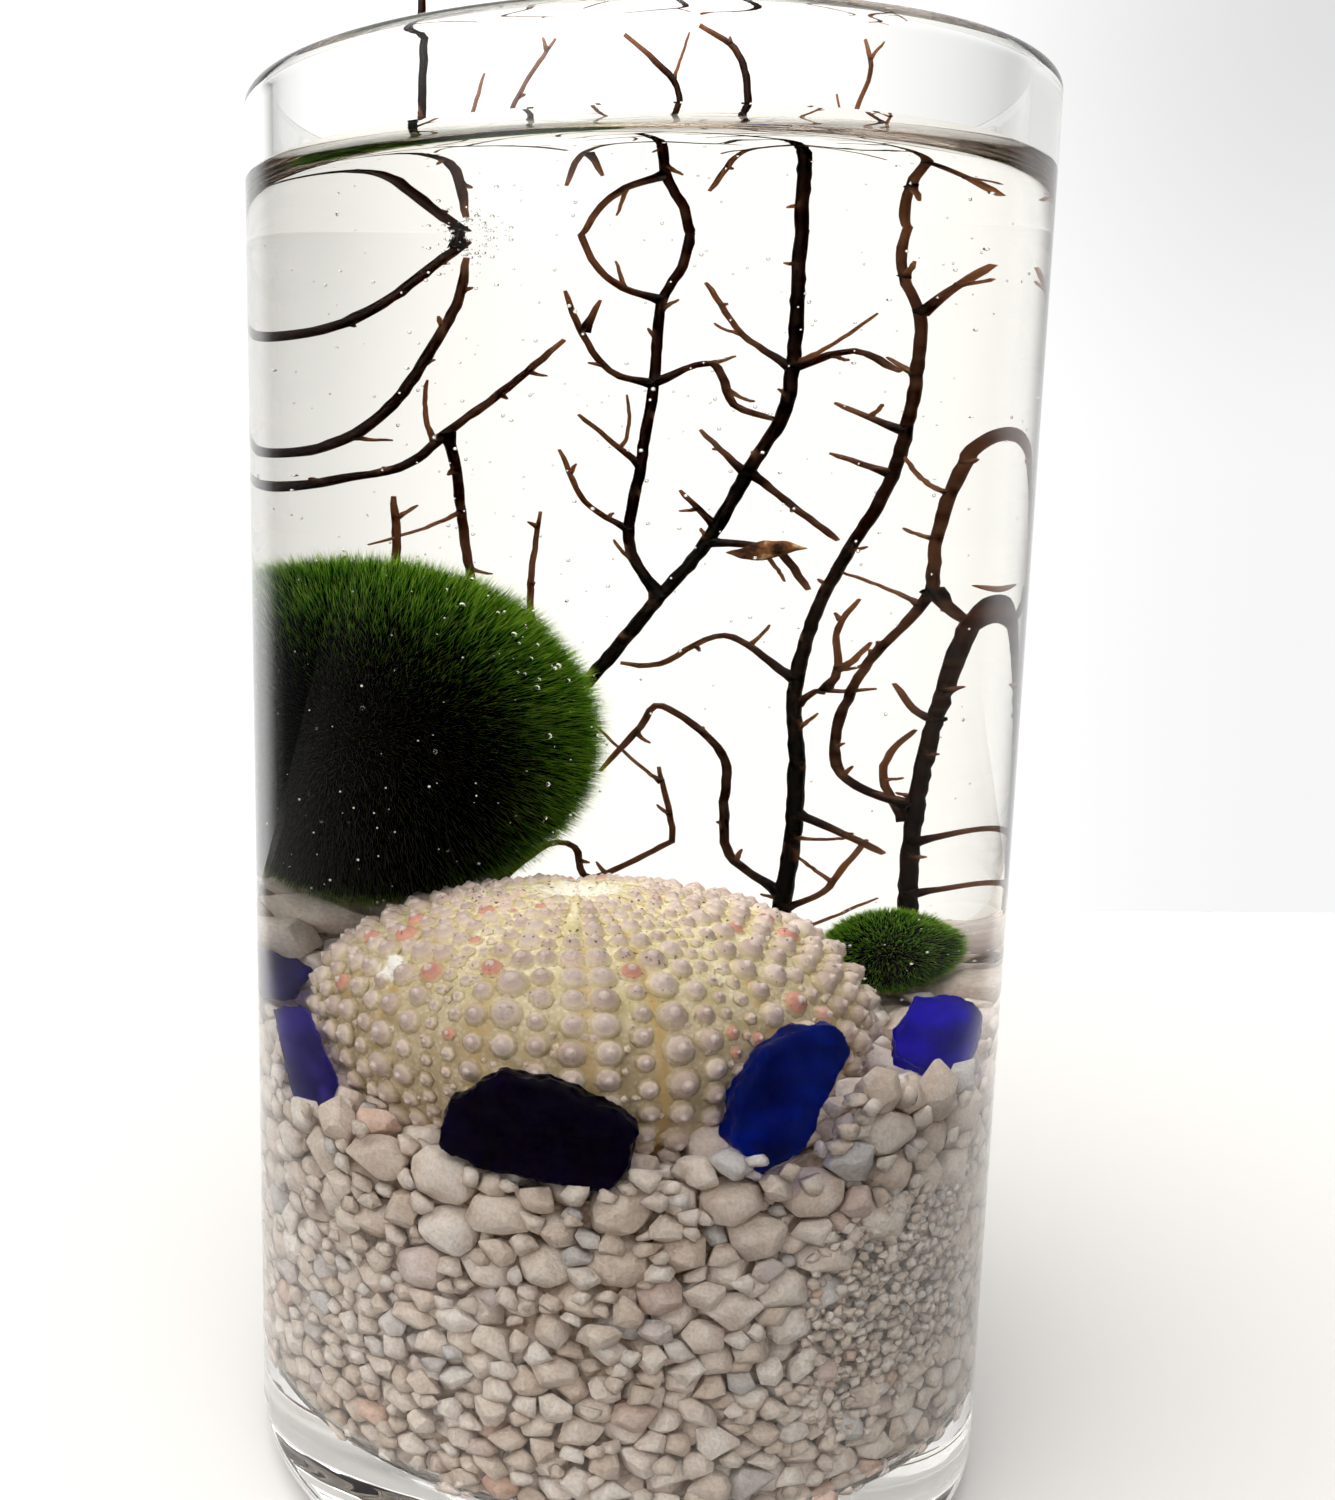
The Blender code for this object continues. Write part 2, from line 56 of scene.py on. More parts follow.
# vase and water, from the frame
VASE_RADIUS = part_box("glass_vase")[1].x / MM
VASE_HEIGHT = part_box("glass_vase")[1].z / MM
WATER_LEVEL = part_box("water")[1].z / MM
WALL = 3.0
FLOOR = 11.4
FLOOR_FILLET = 4.0
FLOOR_RINGS = 10
FLOOR_WAVE = (1.2, 5.0)      # the blown floor sags in shallow waves: their depth and their width
BASE_EDGE = 5.0
BASE_RING = 20.0             # a ring between the middle of the underside and its edge
EDGE_HOLD = 0.4              # a short straight length beside each curve keeps the shading of the wall even
WALL_STEP = 40.0
WALL_RINGS = [FLOOR + FLOOR_FILLET + EDGE_HOLD + i * WALL_STEP for i in range(4)]
FILLET_STEPS = 10
RIM_STEPS = 16
INNER_RADIUS = VASE_RADIUS - WALL
WETTED = 0.05                # the water reaches this far into the glass, so that no air is left between
MENISCUS = 2.4               # how far the water climbs the wall
CLIMBS = ((1.5, 0.6), (0.9, 2.7))    # the climb in two parts: its height and how far in it dies away
SURFACE_RINGS = 32           # rings of the open surface
SURFACE_CROWD = 2.2          # the power by which they crowd towards the wall
TURN_STEPS = 192


# ---------------------------------------------------------------- helpers for meshes

def add_object(name, data):
    """Put a mesh, a curve or a camera into the scene."""
    made = bpy.data.objects.new(name, data)
    bpy.context.scene.collection.objects.link(made)
    return made


def to_mesh(name, bm):
    """Turn a bmesh into a mesh."""
    mesh = bpy.data.meshes.new(name)
    bm.to_mesh(mesh)
    bm.free()
    return mesh


def to_bmesh(mesh):
    """Turn a mesh into a bmesh."""
    bm = bmesh.new()
    bm.from_mesh(mesh)
    bpy.data.meshes.remove(mesh)
    return bm


def shaped(holder):
    """The mesh that an object's modifiers or bevel make, and the object is gone."""
    bpy.context.view_layer.update()
    ready = holder.evaluated_get(bpy.context.evaluated_depsgraph_get())
    mesh = bpy.data.meshes.new_from_object(ready)
    bpy.data.objects.remove(holder)
    return mesh


def add_piece(name, shape, finish, replaces=(), smooth_below=180.0):
    """Make a piece of the object from a bmesh in millimetres, or from a mesh in metres."""
    mesh = shape
    if isinstance(shape, bmesh.types.BMesh):
        bmesh.ops.scale(shape, vec=(MM, MM, MM), verts=shape.verts)
        mesh = to_mesh(name, shape)
    mesh.name = name
    mesh.materials.clear()
    for one in finish if isinstance(finish, list) else [finish]:
        mesh.materials.append(one)
    mesh.shade_smooth()
    if smooth_below < 180.0:
        mesh.set_sharp_from_angle(angle=radians(smooth_below))
    piece = add_object(name, mesh)
    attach(piece, "root")
    if replaces:
        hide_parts(*replaces)
    return piece


def arc(centre_x, centre_z, radius, start, end, steps):
    """Points (x, z) on an arc, from one angle to another, in degrees."""
    turns = [radians(start + (end - start) * i / steps) for i in range(steps + 1)]
    return [(centre_x + radius * cos(a), centre_z + radius * sin(a)) for a in turns]


def turned(profile, steps):
    """Spin a profile (radius, height), which starts and ends on the axis, to a closed shape."""
    bm = bmesh.new()
    line = [bm.verts.new((x, 0.0, z)) for x, z in profile]
    edges = [bm.edges.new(pair) for pair in zip(line, line[1:])]
    bmesh.ops.spin(bm, geom=line + edges, axis=(0, 0, 1), cent=(0, 0, 0), dvec=(0, 0, 0),
                   angle=2 * pi, steps=steps, use_merge=True)
    bmesh.ops.remove_doubles(bm, verts=bm.verts, dist=0.001)
    bmesh.ops.recalc_face_normals(bm, faces=bm.faces)
    return bm


def held_in(value):
    """A value, kept between 0 and 1."""
    return min(1.0, max(0.0, value))


def smooth_step(value):
    """0 below 0, 1 above 1, and a soft rise between them."""
    held = held_in(value)
    return held * held * (3.0 - 2.0 * held)


# ---------------------------------------------------------------- helpers for materials

def linear(code):
    """An sRGB hex colour as the linear values that a shader takes."""
    parts = [int(code[i:i + 2], 16) / 255 for i in (1, 3, 5)]
    return [p / 12.92 if p <= 0.04045 else ((p + 0.055) / 1.055) ** 2.4 for p in parts] + [1.0]


def feed(tree, node, inputs):
    """Fill a node's inputs: with a value, or with a link from another node's output."""
    for key, value in inputs.items():
        if isinstance(value, bpy.types.NodeSocket):
            tree.links.new(value, node.inputs[key])
        else:
            node.inputs[key].default_value = value


def add_node(tree, kind, inputs=None, stops=None, **settings):
    """Add a node with its settings, inputs and, on a ramp, its (place, hex colour) stops."""
    node = tree.nodes.new(kind)
    for key, value in settings.items():
        setattr(node, key, value)
    feed(tree, node, inputs or {})
    if stops:
        while len(node.color_ramp.elements) < len(stops):
            node.color_ramp.elements.new(1.0)
        for element, (place, code) in zip(node.color_ramp.elements, stops):
            element.position = place
            element.color = linear(code)
    return node


def new_material(name, **values):
    """A Principled material, its tree and its shader; values are the shader's own sockets."""
    made = bpy.data.materials.new(name)
    made.use_nodes = True
    shader = made.node_tree.nodes["Principled BSDF"]
    feed(made.node_tree, shader, {key.replace("_", " "): value for key, value in values.items()})
    return made, made.node_tree, shader


# ---------------------------------------------------------------- glass and water

GLASS_IOR = 1.5
WATER_IOR = 1.333
FACE_ON_GLOSS = "#AAAAAA"    # tints what it mirrors when seen square on, so that the moss stays dark


def clear_finish(name, colour, ior):
    """A smooth, fully clear finish."""
    return new_material(name, Base_Color=linear(colour), Roughness=0.0, IOR=ior,
                        Transmission_Weight=1.0, Specular_Tint=linear(FACE_ON_GLOSS))[0]


def blown_glass():
    """Soda-lime glass, blown and fire-polished: colourless and sharply clear. Light bends at each
    face by the ratio of what lies on its two sides, so the wetted inner face has that of glass to
    water. It hardly shines, and the dark moss keeps its depth."""
    return [clear_finish("blown soda-lime glass", "#FDFDFB", GLASS_IOR),
            clear_finish("soda-lime glass against water", "#FFFFFF", GLASS_IOR / WATER_IOR)]


def still_water():
    """Clear water. Only its open surface bends light: the glass beside it has done the rest."""
    return [clear_finish("still water", "#FFFDFA", WATER_IOR),
            clear_finish("still water against glass", "#FFFFFF", 1.0)]


def make_vase():
    """The whole vase as one turned profile: inner floor, wall, rim bead, base edge."""
    rim = WALL / 2
    flat = INNER_RADIUS - FLOOR_FILLET - EDGE_HOLD
    fillet = FLOOR + FLOOR_FILLET
    profile = [(flat * i / FLOOR_RINGS, FLOOR) for i in range(FLOOR_RINGS + 1)]
    profile += arc(INNER_RADIUS - FLOOR_FILLET, fillet, FLOOR_FILLET, -90, 0, FILLET_STEPS)
    profile += [(INNER_RADIUS, z) for z in WALL_RINGS if z < WATER_LEVEL + MENISCUS]
    profile += [(INNER_RADIUS, WATER_LEVEL + MENISCUS)]
    profile += [(INNER_RADIUS, VASE_HEIGHT - rim - EDGE_HOLD)]
    profile += arc(VASE_RADIUS - rim, VASE_HEIGHT - rim, rim, 180, 0, RIM_STEPS)
    profile += [(VASE_RADIUS, VASE_HEIGHT - rim - EDGE_HOLD)]
    profile += [(VASE_RADIUS, z) for z in reversed(WALL_RINGS)]
    profile += [(VASE_RADIUS, BASE_EDGE + EDGE_HOLD)]
    profile += arc(VASE_RADIUS - BASE_EDGE, BASE_EDGE, BASE_EDGE, 0, -90, FILLET_STEPS)
    profile += [(VASE_RADIUS - BASE_EDGE - EDGE_HOLD, 0.0), (BASE_RING, 0.0), (0.0, 0.0)]
    shape = turned(profile, TURN_STEPS)
    for vertex in shape.verts:
        if abs(vertex.co.z - FLOOR) < 0.001:
            away = flat - hypot(vertex.co.x, vertex.co.y)
            wave = FLOOR_WAVE[0] * (0.5 + 0.5 * noise.noise(vertex.co / FLOOR_WAVE[1]))
            vertex.co.z -= wave * smooth_step(away / FLOOR_WAVE[1])
    for face in shape.faces:
        spot = face.calc_center_median()
        inner = hypot(spot.x, spot.y) < INNER_RADIUS + 0.01 and FLOOR / 2 < spot.z
        face.material_index = int(inner and spot.z < WATER_LEVEL + MENISCUS)
    add_piece("vase", shape, blown_glass(), ["glass_vase"])


def make_water():
    """The water fills the vase down through the gravel, and climbs the wall a little at its top."""
    reach = INNER_RADIUS + WETTED
    fillet = FLOOR + FLOOR_FILLET
    profile = [(0.0, FLOOR - WETTED), (BASE_RING, FLOOR - WETTED)]
    profile += arc(INNER_RADIUS - FLOOR_FILLET, fillet, FLOOR_FILLET + WETTED, -90, 0, FILLET_STEPS)
    profile += [(reach, z) for z in WALL_RINGS]
    for ring in range(SURFACE_RINGS):
        radius = reach * (1 - (ring / SURFACE_RINGS) ** SURFACE_CROWD)
        climb = sum(up * exp((radius - reach) / fade) for up, fade in CLIMBS)
        profile.append((radius, WATER_LEVEL + climb))
    profile += [(0.0, WATER_LEVEL)]
    shape = turned(profile, TURN_STEPS)
    for face in shape.faces:
        face.material_index = int(face.calc_center_median().z < WATER_LEVEL - 0.01)
    add_piece("water_fill", shape, still_water(), ["water"], smooth_below=50.0)


# ---------------------------------------------------------------- what lies where, as in the model

BALL_LARGE = ((-22.0, 8.0, 84.0), 20.0, 19.9)      # centre, radius across and radius up
BALL_SMALL = ((21.6, 12.0, 59.4), 5.5, 5.3)
SHELL_CENTRE = Vector((-3.0, -9.3, 55.4))
SHELL_RADIUS = 24.3
SHELL_HALF_HEIGHT = 15.0
SHELL_LEAN = 3.0
# Name, slot, colour, centre, turn to face outwards, lean back, thickness, outline across and up,
# as in the model. Turn and lean are in degrees.
SEA_GLASS = (
    ("sea_glass_front", "navy_sea_glass", "#0C0444", (-7.1, -35.75, 51.5), -11.2, 0.0, 3.1,
     ((-9.6, -2.9), (-8.6, 1.8), (-3.6, 5.6), (2.0, 5.2), (7.6, 3.0), (9.3, 1.6),
      (8.6, -2.9), (6.9, -5.2), (-5.4, -4.5))),
    ("sea_glass_front_right", "deep_blue_sea_glass", "#0832C8", (15.3, -32.0, 54.6), 25.3, 9.0, 3.4,
     ((-6.4, -3.2), (-5.6, 1.0), (-2.8, 5.0), (0.6, 6.9), (4.4, 7.0), (6.4, 4.0),
      (3.8, -0.1), (1.5, -4.6), (-0.6, -6.1), (-3.4, -7.0))),
    ("sea_glass_right", "bright_blue_sea_glass", "#2412F0", (28.2, -10.4, 54.6), 8.0, 38.0, 3.0,
     ((-4.6, 0.4), (-2.4, 4.7), (2.0, 4.3), (5.4, 1.4), (3.6, -5.4), (-1.2, -4.0), (-4.4, -2.4))),
    ("sea_glass_left", "violet_sea_glass", "#4A3CC8", (-30.6, -16.6, 50.9), -27.0, 22.0, 2.6,
     ((-5.0, 3.8), (0.2, 5.6), (2.2, 3.0), (5.2, -1.8), (4.2, -5.2), (0.0, -5.4), (-2.6, -0.6))),
    ("sea_glass_back_left", "violet_sea_glass", "#4A40B8", (-30.6, 2.2, 54.3), -18.0, 18.0, 2.8,
     ((-4.8, -2.6), (-4.4, 2.4), (2.6, 3.2), (4.0, 2.2), (3.4, 0.0), (2.8, -1.8), (-1.0, -3.2))),
)


def glass_place(centre, turn, lean):
    """Where a piece of sea glass stands: its outline is drawn flat, across and up."""
    return (Matrix.Translation(Vector(centre)) @ Matrix.Rotation(radians(turn), 4, "Z")
            @ Matrix.Rotation(radians(90.0 - lean), 4, "X"))


def hollows():
    """The room that the gravel leaves for what is sunk in it, first for the balls and the shell:
    each is a way into its own frame, and its radii there."""
    rounds = (BALL_LARGE, BALL_SMALL, (SHELL_CENTRE, SHELL_RADIUS, SHELL_HALF_HEIGHT))
    found = [(Matrix.Translation(-Vector(centre)), (across, across, up)) for centre, across, up in rounds]
    for _, _, _, centre, turn, lean, thickness, outline in SEA_GLASS:
        wide = max(abs(x) for x, y in outline)
        high = max(abs(y) for x, y in outline)
        found.append((glass_place(centre, turn, lean).inverted(), (wide, high, thickness)))
    return found


HOLLOWS = hollows()


# ---------------------------------------------------------------- gravel

# The bed's form, as in the model: banked to the back, raised at the front right, with a mound.
GRAVEL_FRONT = 47.8
GRAVEL_BACK = 59.0
BANK_START = -15.0
BANK_END = 32.0
RISE_HEIGHT = 7.0
RISE_ACROSS = (2.0, 24.0)    # where the rise begins to the right, and over what width it grows
RISE_ALONG = (-28.0, 26.0)   # where it begins to sink to the back, and over what depth it is gone
MOUND = (-25.0, 19.0)
MOUND_HEIGHT = 11.5
MOUND_SPREAD = 7.5
LUMP_SIZE = 6.0
LUMP_HEIGHT = 1.6
LUMP_SLICE = 0.5             # which slice of the noise the lumps are read from
CHIP_REACH = INNER_RADIUS - 0.25     # the chips' outermost faces
LAYER = 4.3                  # depth of the layer of single chips along the wall and on top
CHIP_SIZES = (3.3, 2.9, 2.5, 2.15, 1.8, 1.5, 1.2, 0.95, 0.75)    # radii, large ones first
CHIP_TRIES = (1500, 2500, 4000, 5000, 5000, 5000, 4500, 4000, 3000)
CHIP_SPREAD = (0.88, 1.1)    # how far each may be off its size
CHIP_LIMIT = (1.5, 1.7)      # the largest radius low in the bed, and how much more it is near the top
CHIP_GROWTH = (24.0, 20.0)   # the height at which it begins to grow, and over what height it does
CHIP_DRIFT = 0.6             # how much it varies from place to place
FINES_TURN = (31.0, 64.0)    # a pocket of grit at the front right: degrees from -Y, and heights
FINES_LEVEL = (21.0, 41.0)
FINES_FADE = (10.0, 6.0)     # in how many degrees and millimetres it reaches its full depth
FINES_SIZES = (0.62, 0.5, 0.4)
FINES_TRIES = (7000, 12000, 14000)
SWELL = 1.34                 # a chip reaches at most this far, in its own radius
SLIVER = 0.7                 # a chip of less volume than this, in its radius cubed, is left out
CHIP_GAP = (0.03, 0.07)      # the gap at a shared face: in millimetres, and at most more in its radius
FACE_TILT = 0.28             # how far a shared face may tilt
BREAKS = 7                   # random breaks on each chip
MERGED = 0.12                # corners nearer than this, in its radius, become one
EDGE_WEAR = 0.15             # how wide its worn edges are, in its radius
THINNEST = 0.68              # a chip may be this much thinner one way than it grew
WORN_FROM = 1.3              # smaller chips than this radius keep sharp edges
CORE_REACH = CHIP_REACH - 4.2        # the solid heart of the bed, behind the chips
CORE_DEPTH = 4.0
CORE_FLOOR = FLOOR + 0.2
CORE_RINGS = 16
CORE_STEPS = 96
BED_MARK = 60.0              # the core's top rings are turned at this height, then let down to the bed
FLATTER = 1.3                # the chips lie flat: they are this much wider than high


def gravel_top(x, y):
    """The bed's height, with nothing sunk in it."""
    bank = smooth_step((y - BANK_START) / (BANK_END - BANK_START))
    rise = smooth_step((x - RISE_ACROSS[0]) / RISE_ACROSS[1])
    rise *= 1.0 - smooth_step((y - RISE_ALONG[0]) / RISE_ALONG[1])
    away = ((x - MOUND[0]) ** 2 + (y - MOUND[1]) ** 2) / (2.0 * MOUND_SPREAD ** 2)
    lumps = LUMP_HEIGHT * noise.noise(Vector((x / LUMP_SIZE, y / LUMP_SIZE, LUMP_SLICE)))
    return (GRAVEL_FRONT + (GRAVEL_BACK - GRAVEL_FRONT) * bank + RISE_HEIGHT * rise
            + MOUND_HEIGHT * exp(-away) + lumps)


def bed_top(x, y):
    """The bed's height, also where a ball or the shell is sunk in it."""
    top = gravel_top(x, y)
    for way_in, radii in HOLLOWS[:3]:        # the balls and the shell
        spot = way_in @ Vector((x, y, 0.0))
        away = (spot.x / radii[0]) ** 2 + (spot.y / radii[1]) ** 2
        if away < 1.0:
            top = min(top, -spot.z - radii[2] * sqrt(1.0 - away))
    return top


def in_grit(spot):
    """How deep a point is in the pocket of grit, from 0 at its edge; outside it is below 0."""
    turn = np.degrees(atan2(spot.x, -spot.y))
    across = min(turn - FINES_TURN[0], FINES_TURN[1] - turn) / FINES_FADE[0]
    up = min(spot.z - FINES_LEVEL[0], FINES_LEVEL[1] - spot.z) / FINES_FADE[1]
    return min(across, up) + 0.5 * noise.noise(spot * 0.25)


def largest_chip(spot):
    """The chips are large near the top of the bed, and smaller further down."""
    if in_grit(spot) > 0.0:
        return FINES_SIZES[0]
    grown = smooth_step((spot.z - CHIP_GROWTH[0]) / CHIP_GROWTH[1])
    return CHIP_LIMIT[0] + CHIP_LIMIT[1] * grown + CHIP_DRIFT * noise.noise(spot * 0.08)


def stretched(spot):
    """The chips are packed as balls in a space drawn out upwards, and pressed flat afterwards."""
    return Vector((spot.x, spot.y, spot.z * FLATTER))


class Heap:
    """Balls of unlike sizes, thrown at random into a space, kept where they don't overlap much."""

    CELL = 7.0               # each ball is filed by its cell of this size, so that its neighbours are found
    OVERLAP = 0.9            # two balls may be this near, in the sum of their radii

    def __init__(self, seed):
        self.rng = Random(seed)
        self.balls = []
        self.cells = {}

    def key(self, spot):
        """The cell that a point lies in."""
        return tuple(int(v // self.CELL) for v in spot)

    def near(self, spot):
        """The balls in the cells round a point, as their numbers."""
        i, j, k = self.key(spot)
        return [n for a in (i - 1, i, i + 1) for b in (j - 1, j, j + 1) for c in (k - 1, k, k + 1)
                for n in self.cells.get((a, b, c), ())]

    def throw(self, spot, radius):
        """Keep a ball, unless it overlaps another too much."""
        for index in self.near(spot):
            other, size = self.balls[index]
            if (other - spot).length_squared < ((radius + size) * self.OVERLAP) ** 2:
                return
        self.cells.setdefault(self.key(spot), []).append(len(self.balls))
        self.balls.append((spot, radius))


def wall_spot(rng, radius):
    """A place in the layer along the wall."""
    turn = rng.uniform(0.0, 2 * pi)
    reach = rng.uniform(CHIP_REACH - LAYER, CHIP_REACH - 0.7 * radius)
    spot = Vector((reach * sin(turn), reach * cos(turn), 0.0))
    spot.z = rng.uniform(FLOOR + 0.75 * radius, bed_top(spot.x, spot.y) - 0.6 * radius)
    return spot


def top_spot(rng, radius):
    """A place in the layer on top of the bed."""
    turn = rng.uniform(0.0, 2 * pi)
    reach = (CHIP_REACH - 0.7 * radius) * sqrt(rng.random())
    spot = Vector((reach * sin(turn), reach * cos(turn), 0.0))
    spot.z = bed_top(spot.x, spot.y) - rng.uniform(0.35 * radius, LAYER)
    return spot


def heap_chips(place, seed, sizes, tries, grit):
    """Fill a layer with balls, large ones first."""
    heap = Heap(seed)
    for radius, count in zip(sizes, tries):
        for _ in range(count):
            size = radius * heap.rng.uniform(*CHIP_SPREAD)
            spot = place(heap.rng, size)
            if size > largest_chip(spot) * 1.12 or (grit and in_grit(spot) < -0.15):
                continue
            if any(sum((v / (r + size * 0.8)) ** 2 for v, r in zip(way_in @ spot, radii)) < 1.0
                   for way_in, radii in HOLLOWS):
                continue
            heap.throw(stretched(spot), size)
    return heap


def chip(rng, spot, radius, neighbours, worn):
    """One crushed chip: a block cut by the planes between it and its neighbours, by the wall and
    by a few random breaks. A larger one has its edges worn."""
    bm = bmesh.new()
    bmesh.ops.create_cube(bm, size=2.0 * SWELL * radius)
    turn = Euler([rng.uniform(0.0, 2 * pi) for _ in range(3)]).to_matrix()
    bmesh.ops.rotate(bm, cent=(0, 0, 0), matrix=turn, verts=bm.verts)
    cuts = []
    for other, size in neighbours:
        way = other - spot
        apart = way.length
        reach = (apart * apart + radius * radius - size * size) / (2.0 * apart)
        if reach < SWELL * radius:
            tilt = FACE_TILT * Vector([rng.uniform(-1.0, 1.0) for _ in range(3)])
            gap = CHIP_GAP[0] + radius * rng.uniform(0.0, CHIP_GAP[1])
            cuts.append((reach - gap, (way / apart + tilt).normalized()))
    for _ in range(BREAKS):
        way = Vector([rng.gauss(0.0, 1.0) for _ in range(3)]).normalized()
        cuts.append((radius * rng.uniform(0.95, SWELL), way))
    out = Vector((spot.x, spot.y, 0.0)).normalized()
    room = CHIP_REACH - hypot(spot.x, spot.y)
    cuts.append((room, out))
    # Three slanting breaks leave only a small flat face against the glass.
    across, spin = out.orthogonal(), rng.uniform(0.0, 2 * pi)
    for third in range(3):
        lean = rng.uniform(0.45, 0.95)
        side = Matrix.Rotation(spin + third * 2.1, 3, out) @ across
        cuts.append((min(room, radius) * rng.uniform(0.9, 1.02), (out + lean * side).normalized()))
    cuts.append((spot.z - (FLOOR + 0.1) * FLATTER, Vector((0.0, 0.0, -1.0))))
    cuts.sort(key=lambda cut: cut[0])
    for reach, way in cuts:
        if max(vertex.co.dot(way) for vertex in bm.verts) < reach + 0.01 * radius:
            continue
        found = bmesh.ops.bisect_plane(bm, geom=bm.verts[:] + bm.edges[:] + bm.faces[:],
                                       plane_co=way * reach, plane_no=way, clear_outer=True)
        rim = [e for e in found["geom_cut"] if isinstance(e, bmesh.types.BMEdge)]
        bmesh.ops.edgeloop_fill(bm, edges=rim)
        if len(bm.verts) < 4:
            break
    if len(bm.verts) < 4 or bm.calc_volume() < SLIVER * radius ** 3:
        bm.free()
        return None
    side = Matrix.Rotation(rng.uniform(0.0, 2 * pi), 3, out) @ across
    bmesh.ops.scale(bm, vec=(rng.uniform(THINNEST, 1.0), 1.0, 1.0), verts=bm.verts,
                    space=side.to_track_quat("X", "Z").to_matrix().to_4x4().transposed())
    if worn:
        bmesh.ops.remove_doubles(bm, verts=bm.verts, dist=MERGED * radius)
        bmesh.ops.bevel(bm, geom=bm.edges[:], offset=EDGE_WEAR * radius, offset_type="OFFSET",
                        segments=1, profile=0.5, affect="EDGES", clamp_overlap=True, material=-1)
    bmesh.ops.translate(bm, vec=spot, verts=bm.verts)
    bmesh.ops.scale(bm, vec=(1.0, 1.0, 1.0 / FLATTER), verts=bm.verts)
    return bm


def chips_mesh(heap, first, last, seed, worn_from):
    """Some chips of a heap in one bmesh, and the number of points of each."""
    rng = Random(seed)
    tree = kdtree.KDTree(len(heap.balls))
    for index, (spot, size) in enumerate(heap.balls):
        tree.insert(spot, index)
    tree.balance()
    largest = max(size for _, size in heap.balls)
    whole = bmesh.new()
    counts = []
    part = bpy.data.meshes.new("chip")
    for index, (spot, radius) in list(enumerate(heap.balls))[first:last]:
        reach = SWELL * radius + sqrt((SWELL ** 2 - 1) * radius ** 2 + largest ** 2)
        around = [heap.balls[n] for _, n, _ in tree.find_range(spot, reach) if n != index]
        bm = chip(rng, spot, radius, around, radius > worn_from)
        if bm is None:
            continue
        counts.append(len(bm.verts))
        bm.to_mesh(part)
        bm.free()
        whole.from_mesh(part)
    bpy.data.meshes.remove(part)
    return whole, counts


def mark(piece, name, values):
    """Store one number for each point of a piece, for its material to read."""
    layer = piece.data.attributes.new(name, "FLOAT", "POINT")
    layer.data.foreach_set("value", np.asarray(values, dtype=np.float32))


def tones(counts, seed):
    """One random number for each chip, repeated on all its points."""
    rng = Random(seed)
    return np.repeat([rng.random() for _ in counts], counts)


def crushed_stone():
    """Crushed limestone, tumbled a little and wet: matt and sandy, cream to beige, with some
    bluish-grey and pinkish chips."""
    made, tree, shader = new_material("crushed limestone", Roughness=0.85, Specular_IOR_Level=0.1)
    spot = add_node(tree, "ShaderNodeTexCoord").outputs["Object"]
    tone = add_node(tree, "ShaderNodeAttribute", attribute_name="tone").outputs["Fac"]
    body = add_node(tree, "ShaderNodeValToRGB", {"Fac": tone}, stops=(
        (0.0, "#E0D1C6"), (0.25, "#E9DCD3"), (0.55, "#F0E6DF"), (0.84, "#F8F1ED"), (0.93, "#D6D4D8"),
        (1.0, "#EBCBBB")))
    cloud = add_node(tree, "ShaderNodeTexNoise", {"Vector": spot, "Scale": 0.5 * PER_MM, "Detail": 4.0})
    stain = add_node(tree, "ShaderNodeValToRGB", {"Fac": cloud.outputs["Fac"]}, stops=(
        (0.3, "#E4DAD0"), (0.5, "#FAF6F2"), (0.7, "#FFFFFF")))
    mixed = add_node(tree, "ShaderNodeMix", {
        "Factor": 0.75, "A": body.outputs["Color"], "B": stain.outputs["Color"]},
        data_type="RGBA", blend_type="MULTIPLY")
    grit = add_node(tree, "ShaderNodeTexNoise", {"Vector": spot, "Scale": 2.6 * PER_MM, "Detail": 4.0})
    sand = add_node(tree, "ShaderNodeMapRange", {
        "Value": grit.outputs["Fac"], "From Min": 0.38, "From Max": 0.6, "To Min": 0.86, "To Max": 1.0})
    sanded = add_node(tree, "ShaderNodeVectorMath", {
        0: mixed.outputs[2], "Scale": sand.outputs["Result"]}, operation="SCALE")
    bump = add_node(tree, "ShaderNodeBump", {
        "Height": grit.outputs["Fac"], "Strength": 0.8, "Distance": 0.16 * MM})
    feed(tree, shader, {"Base Color": sanded.outputs[0], "Normal": bump.outputs["Normal"]})
    return made


def shaded_stone():
    """The same stone deep in the bed, painted brown as the shade between the chips."""
    made, tree, shader = new_material("limestone in painted shade", Roughness=1.0, Specular_IOR_Level=0.0)
    spot = add_node(tree, "ShaderNodeTexCoord").outputs["Object"]
    cloud = add_node(tree, "ShaderNodeTexNoise", {"Vector": spot, "Scale": 0.8 * PER_MM, "Detail": 4.0})
    # painted shade: the bed's heart is coloured darker brown than the chips in front of it
    tone = add_node(tree, "ShaderNodeValToRGB", {"Fac": cloud.outputs["Fac"]}, stops=(
        (0.35, "#86705F"), (0.5, "#AE9A89"), (0.62, "#CDBEB0"))).outputs["Color"]
    feed(tree, shader, {"Base Color": tone})
    return made


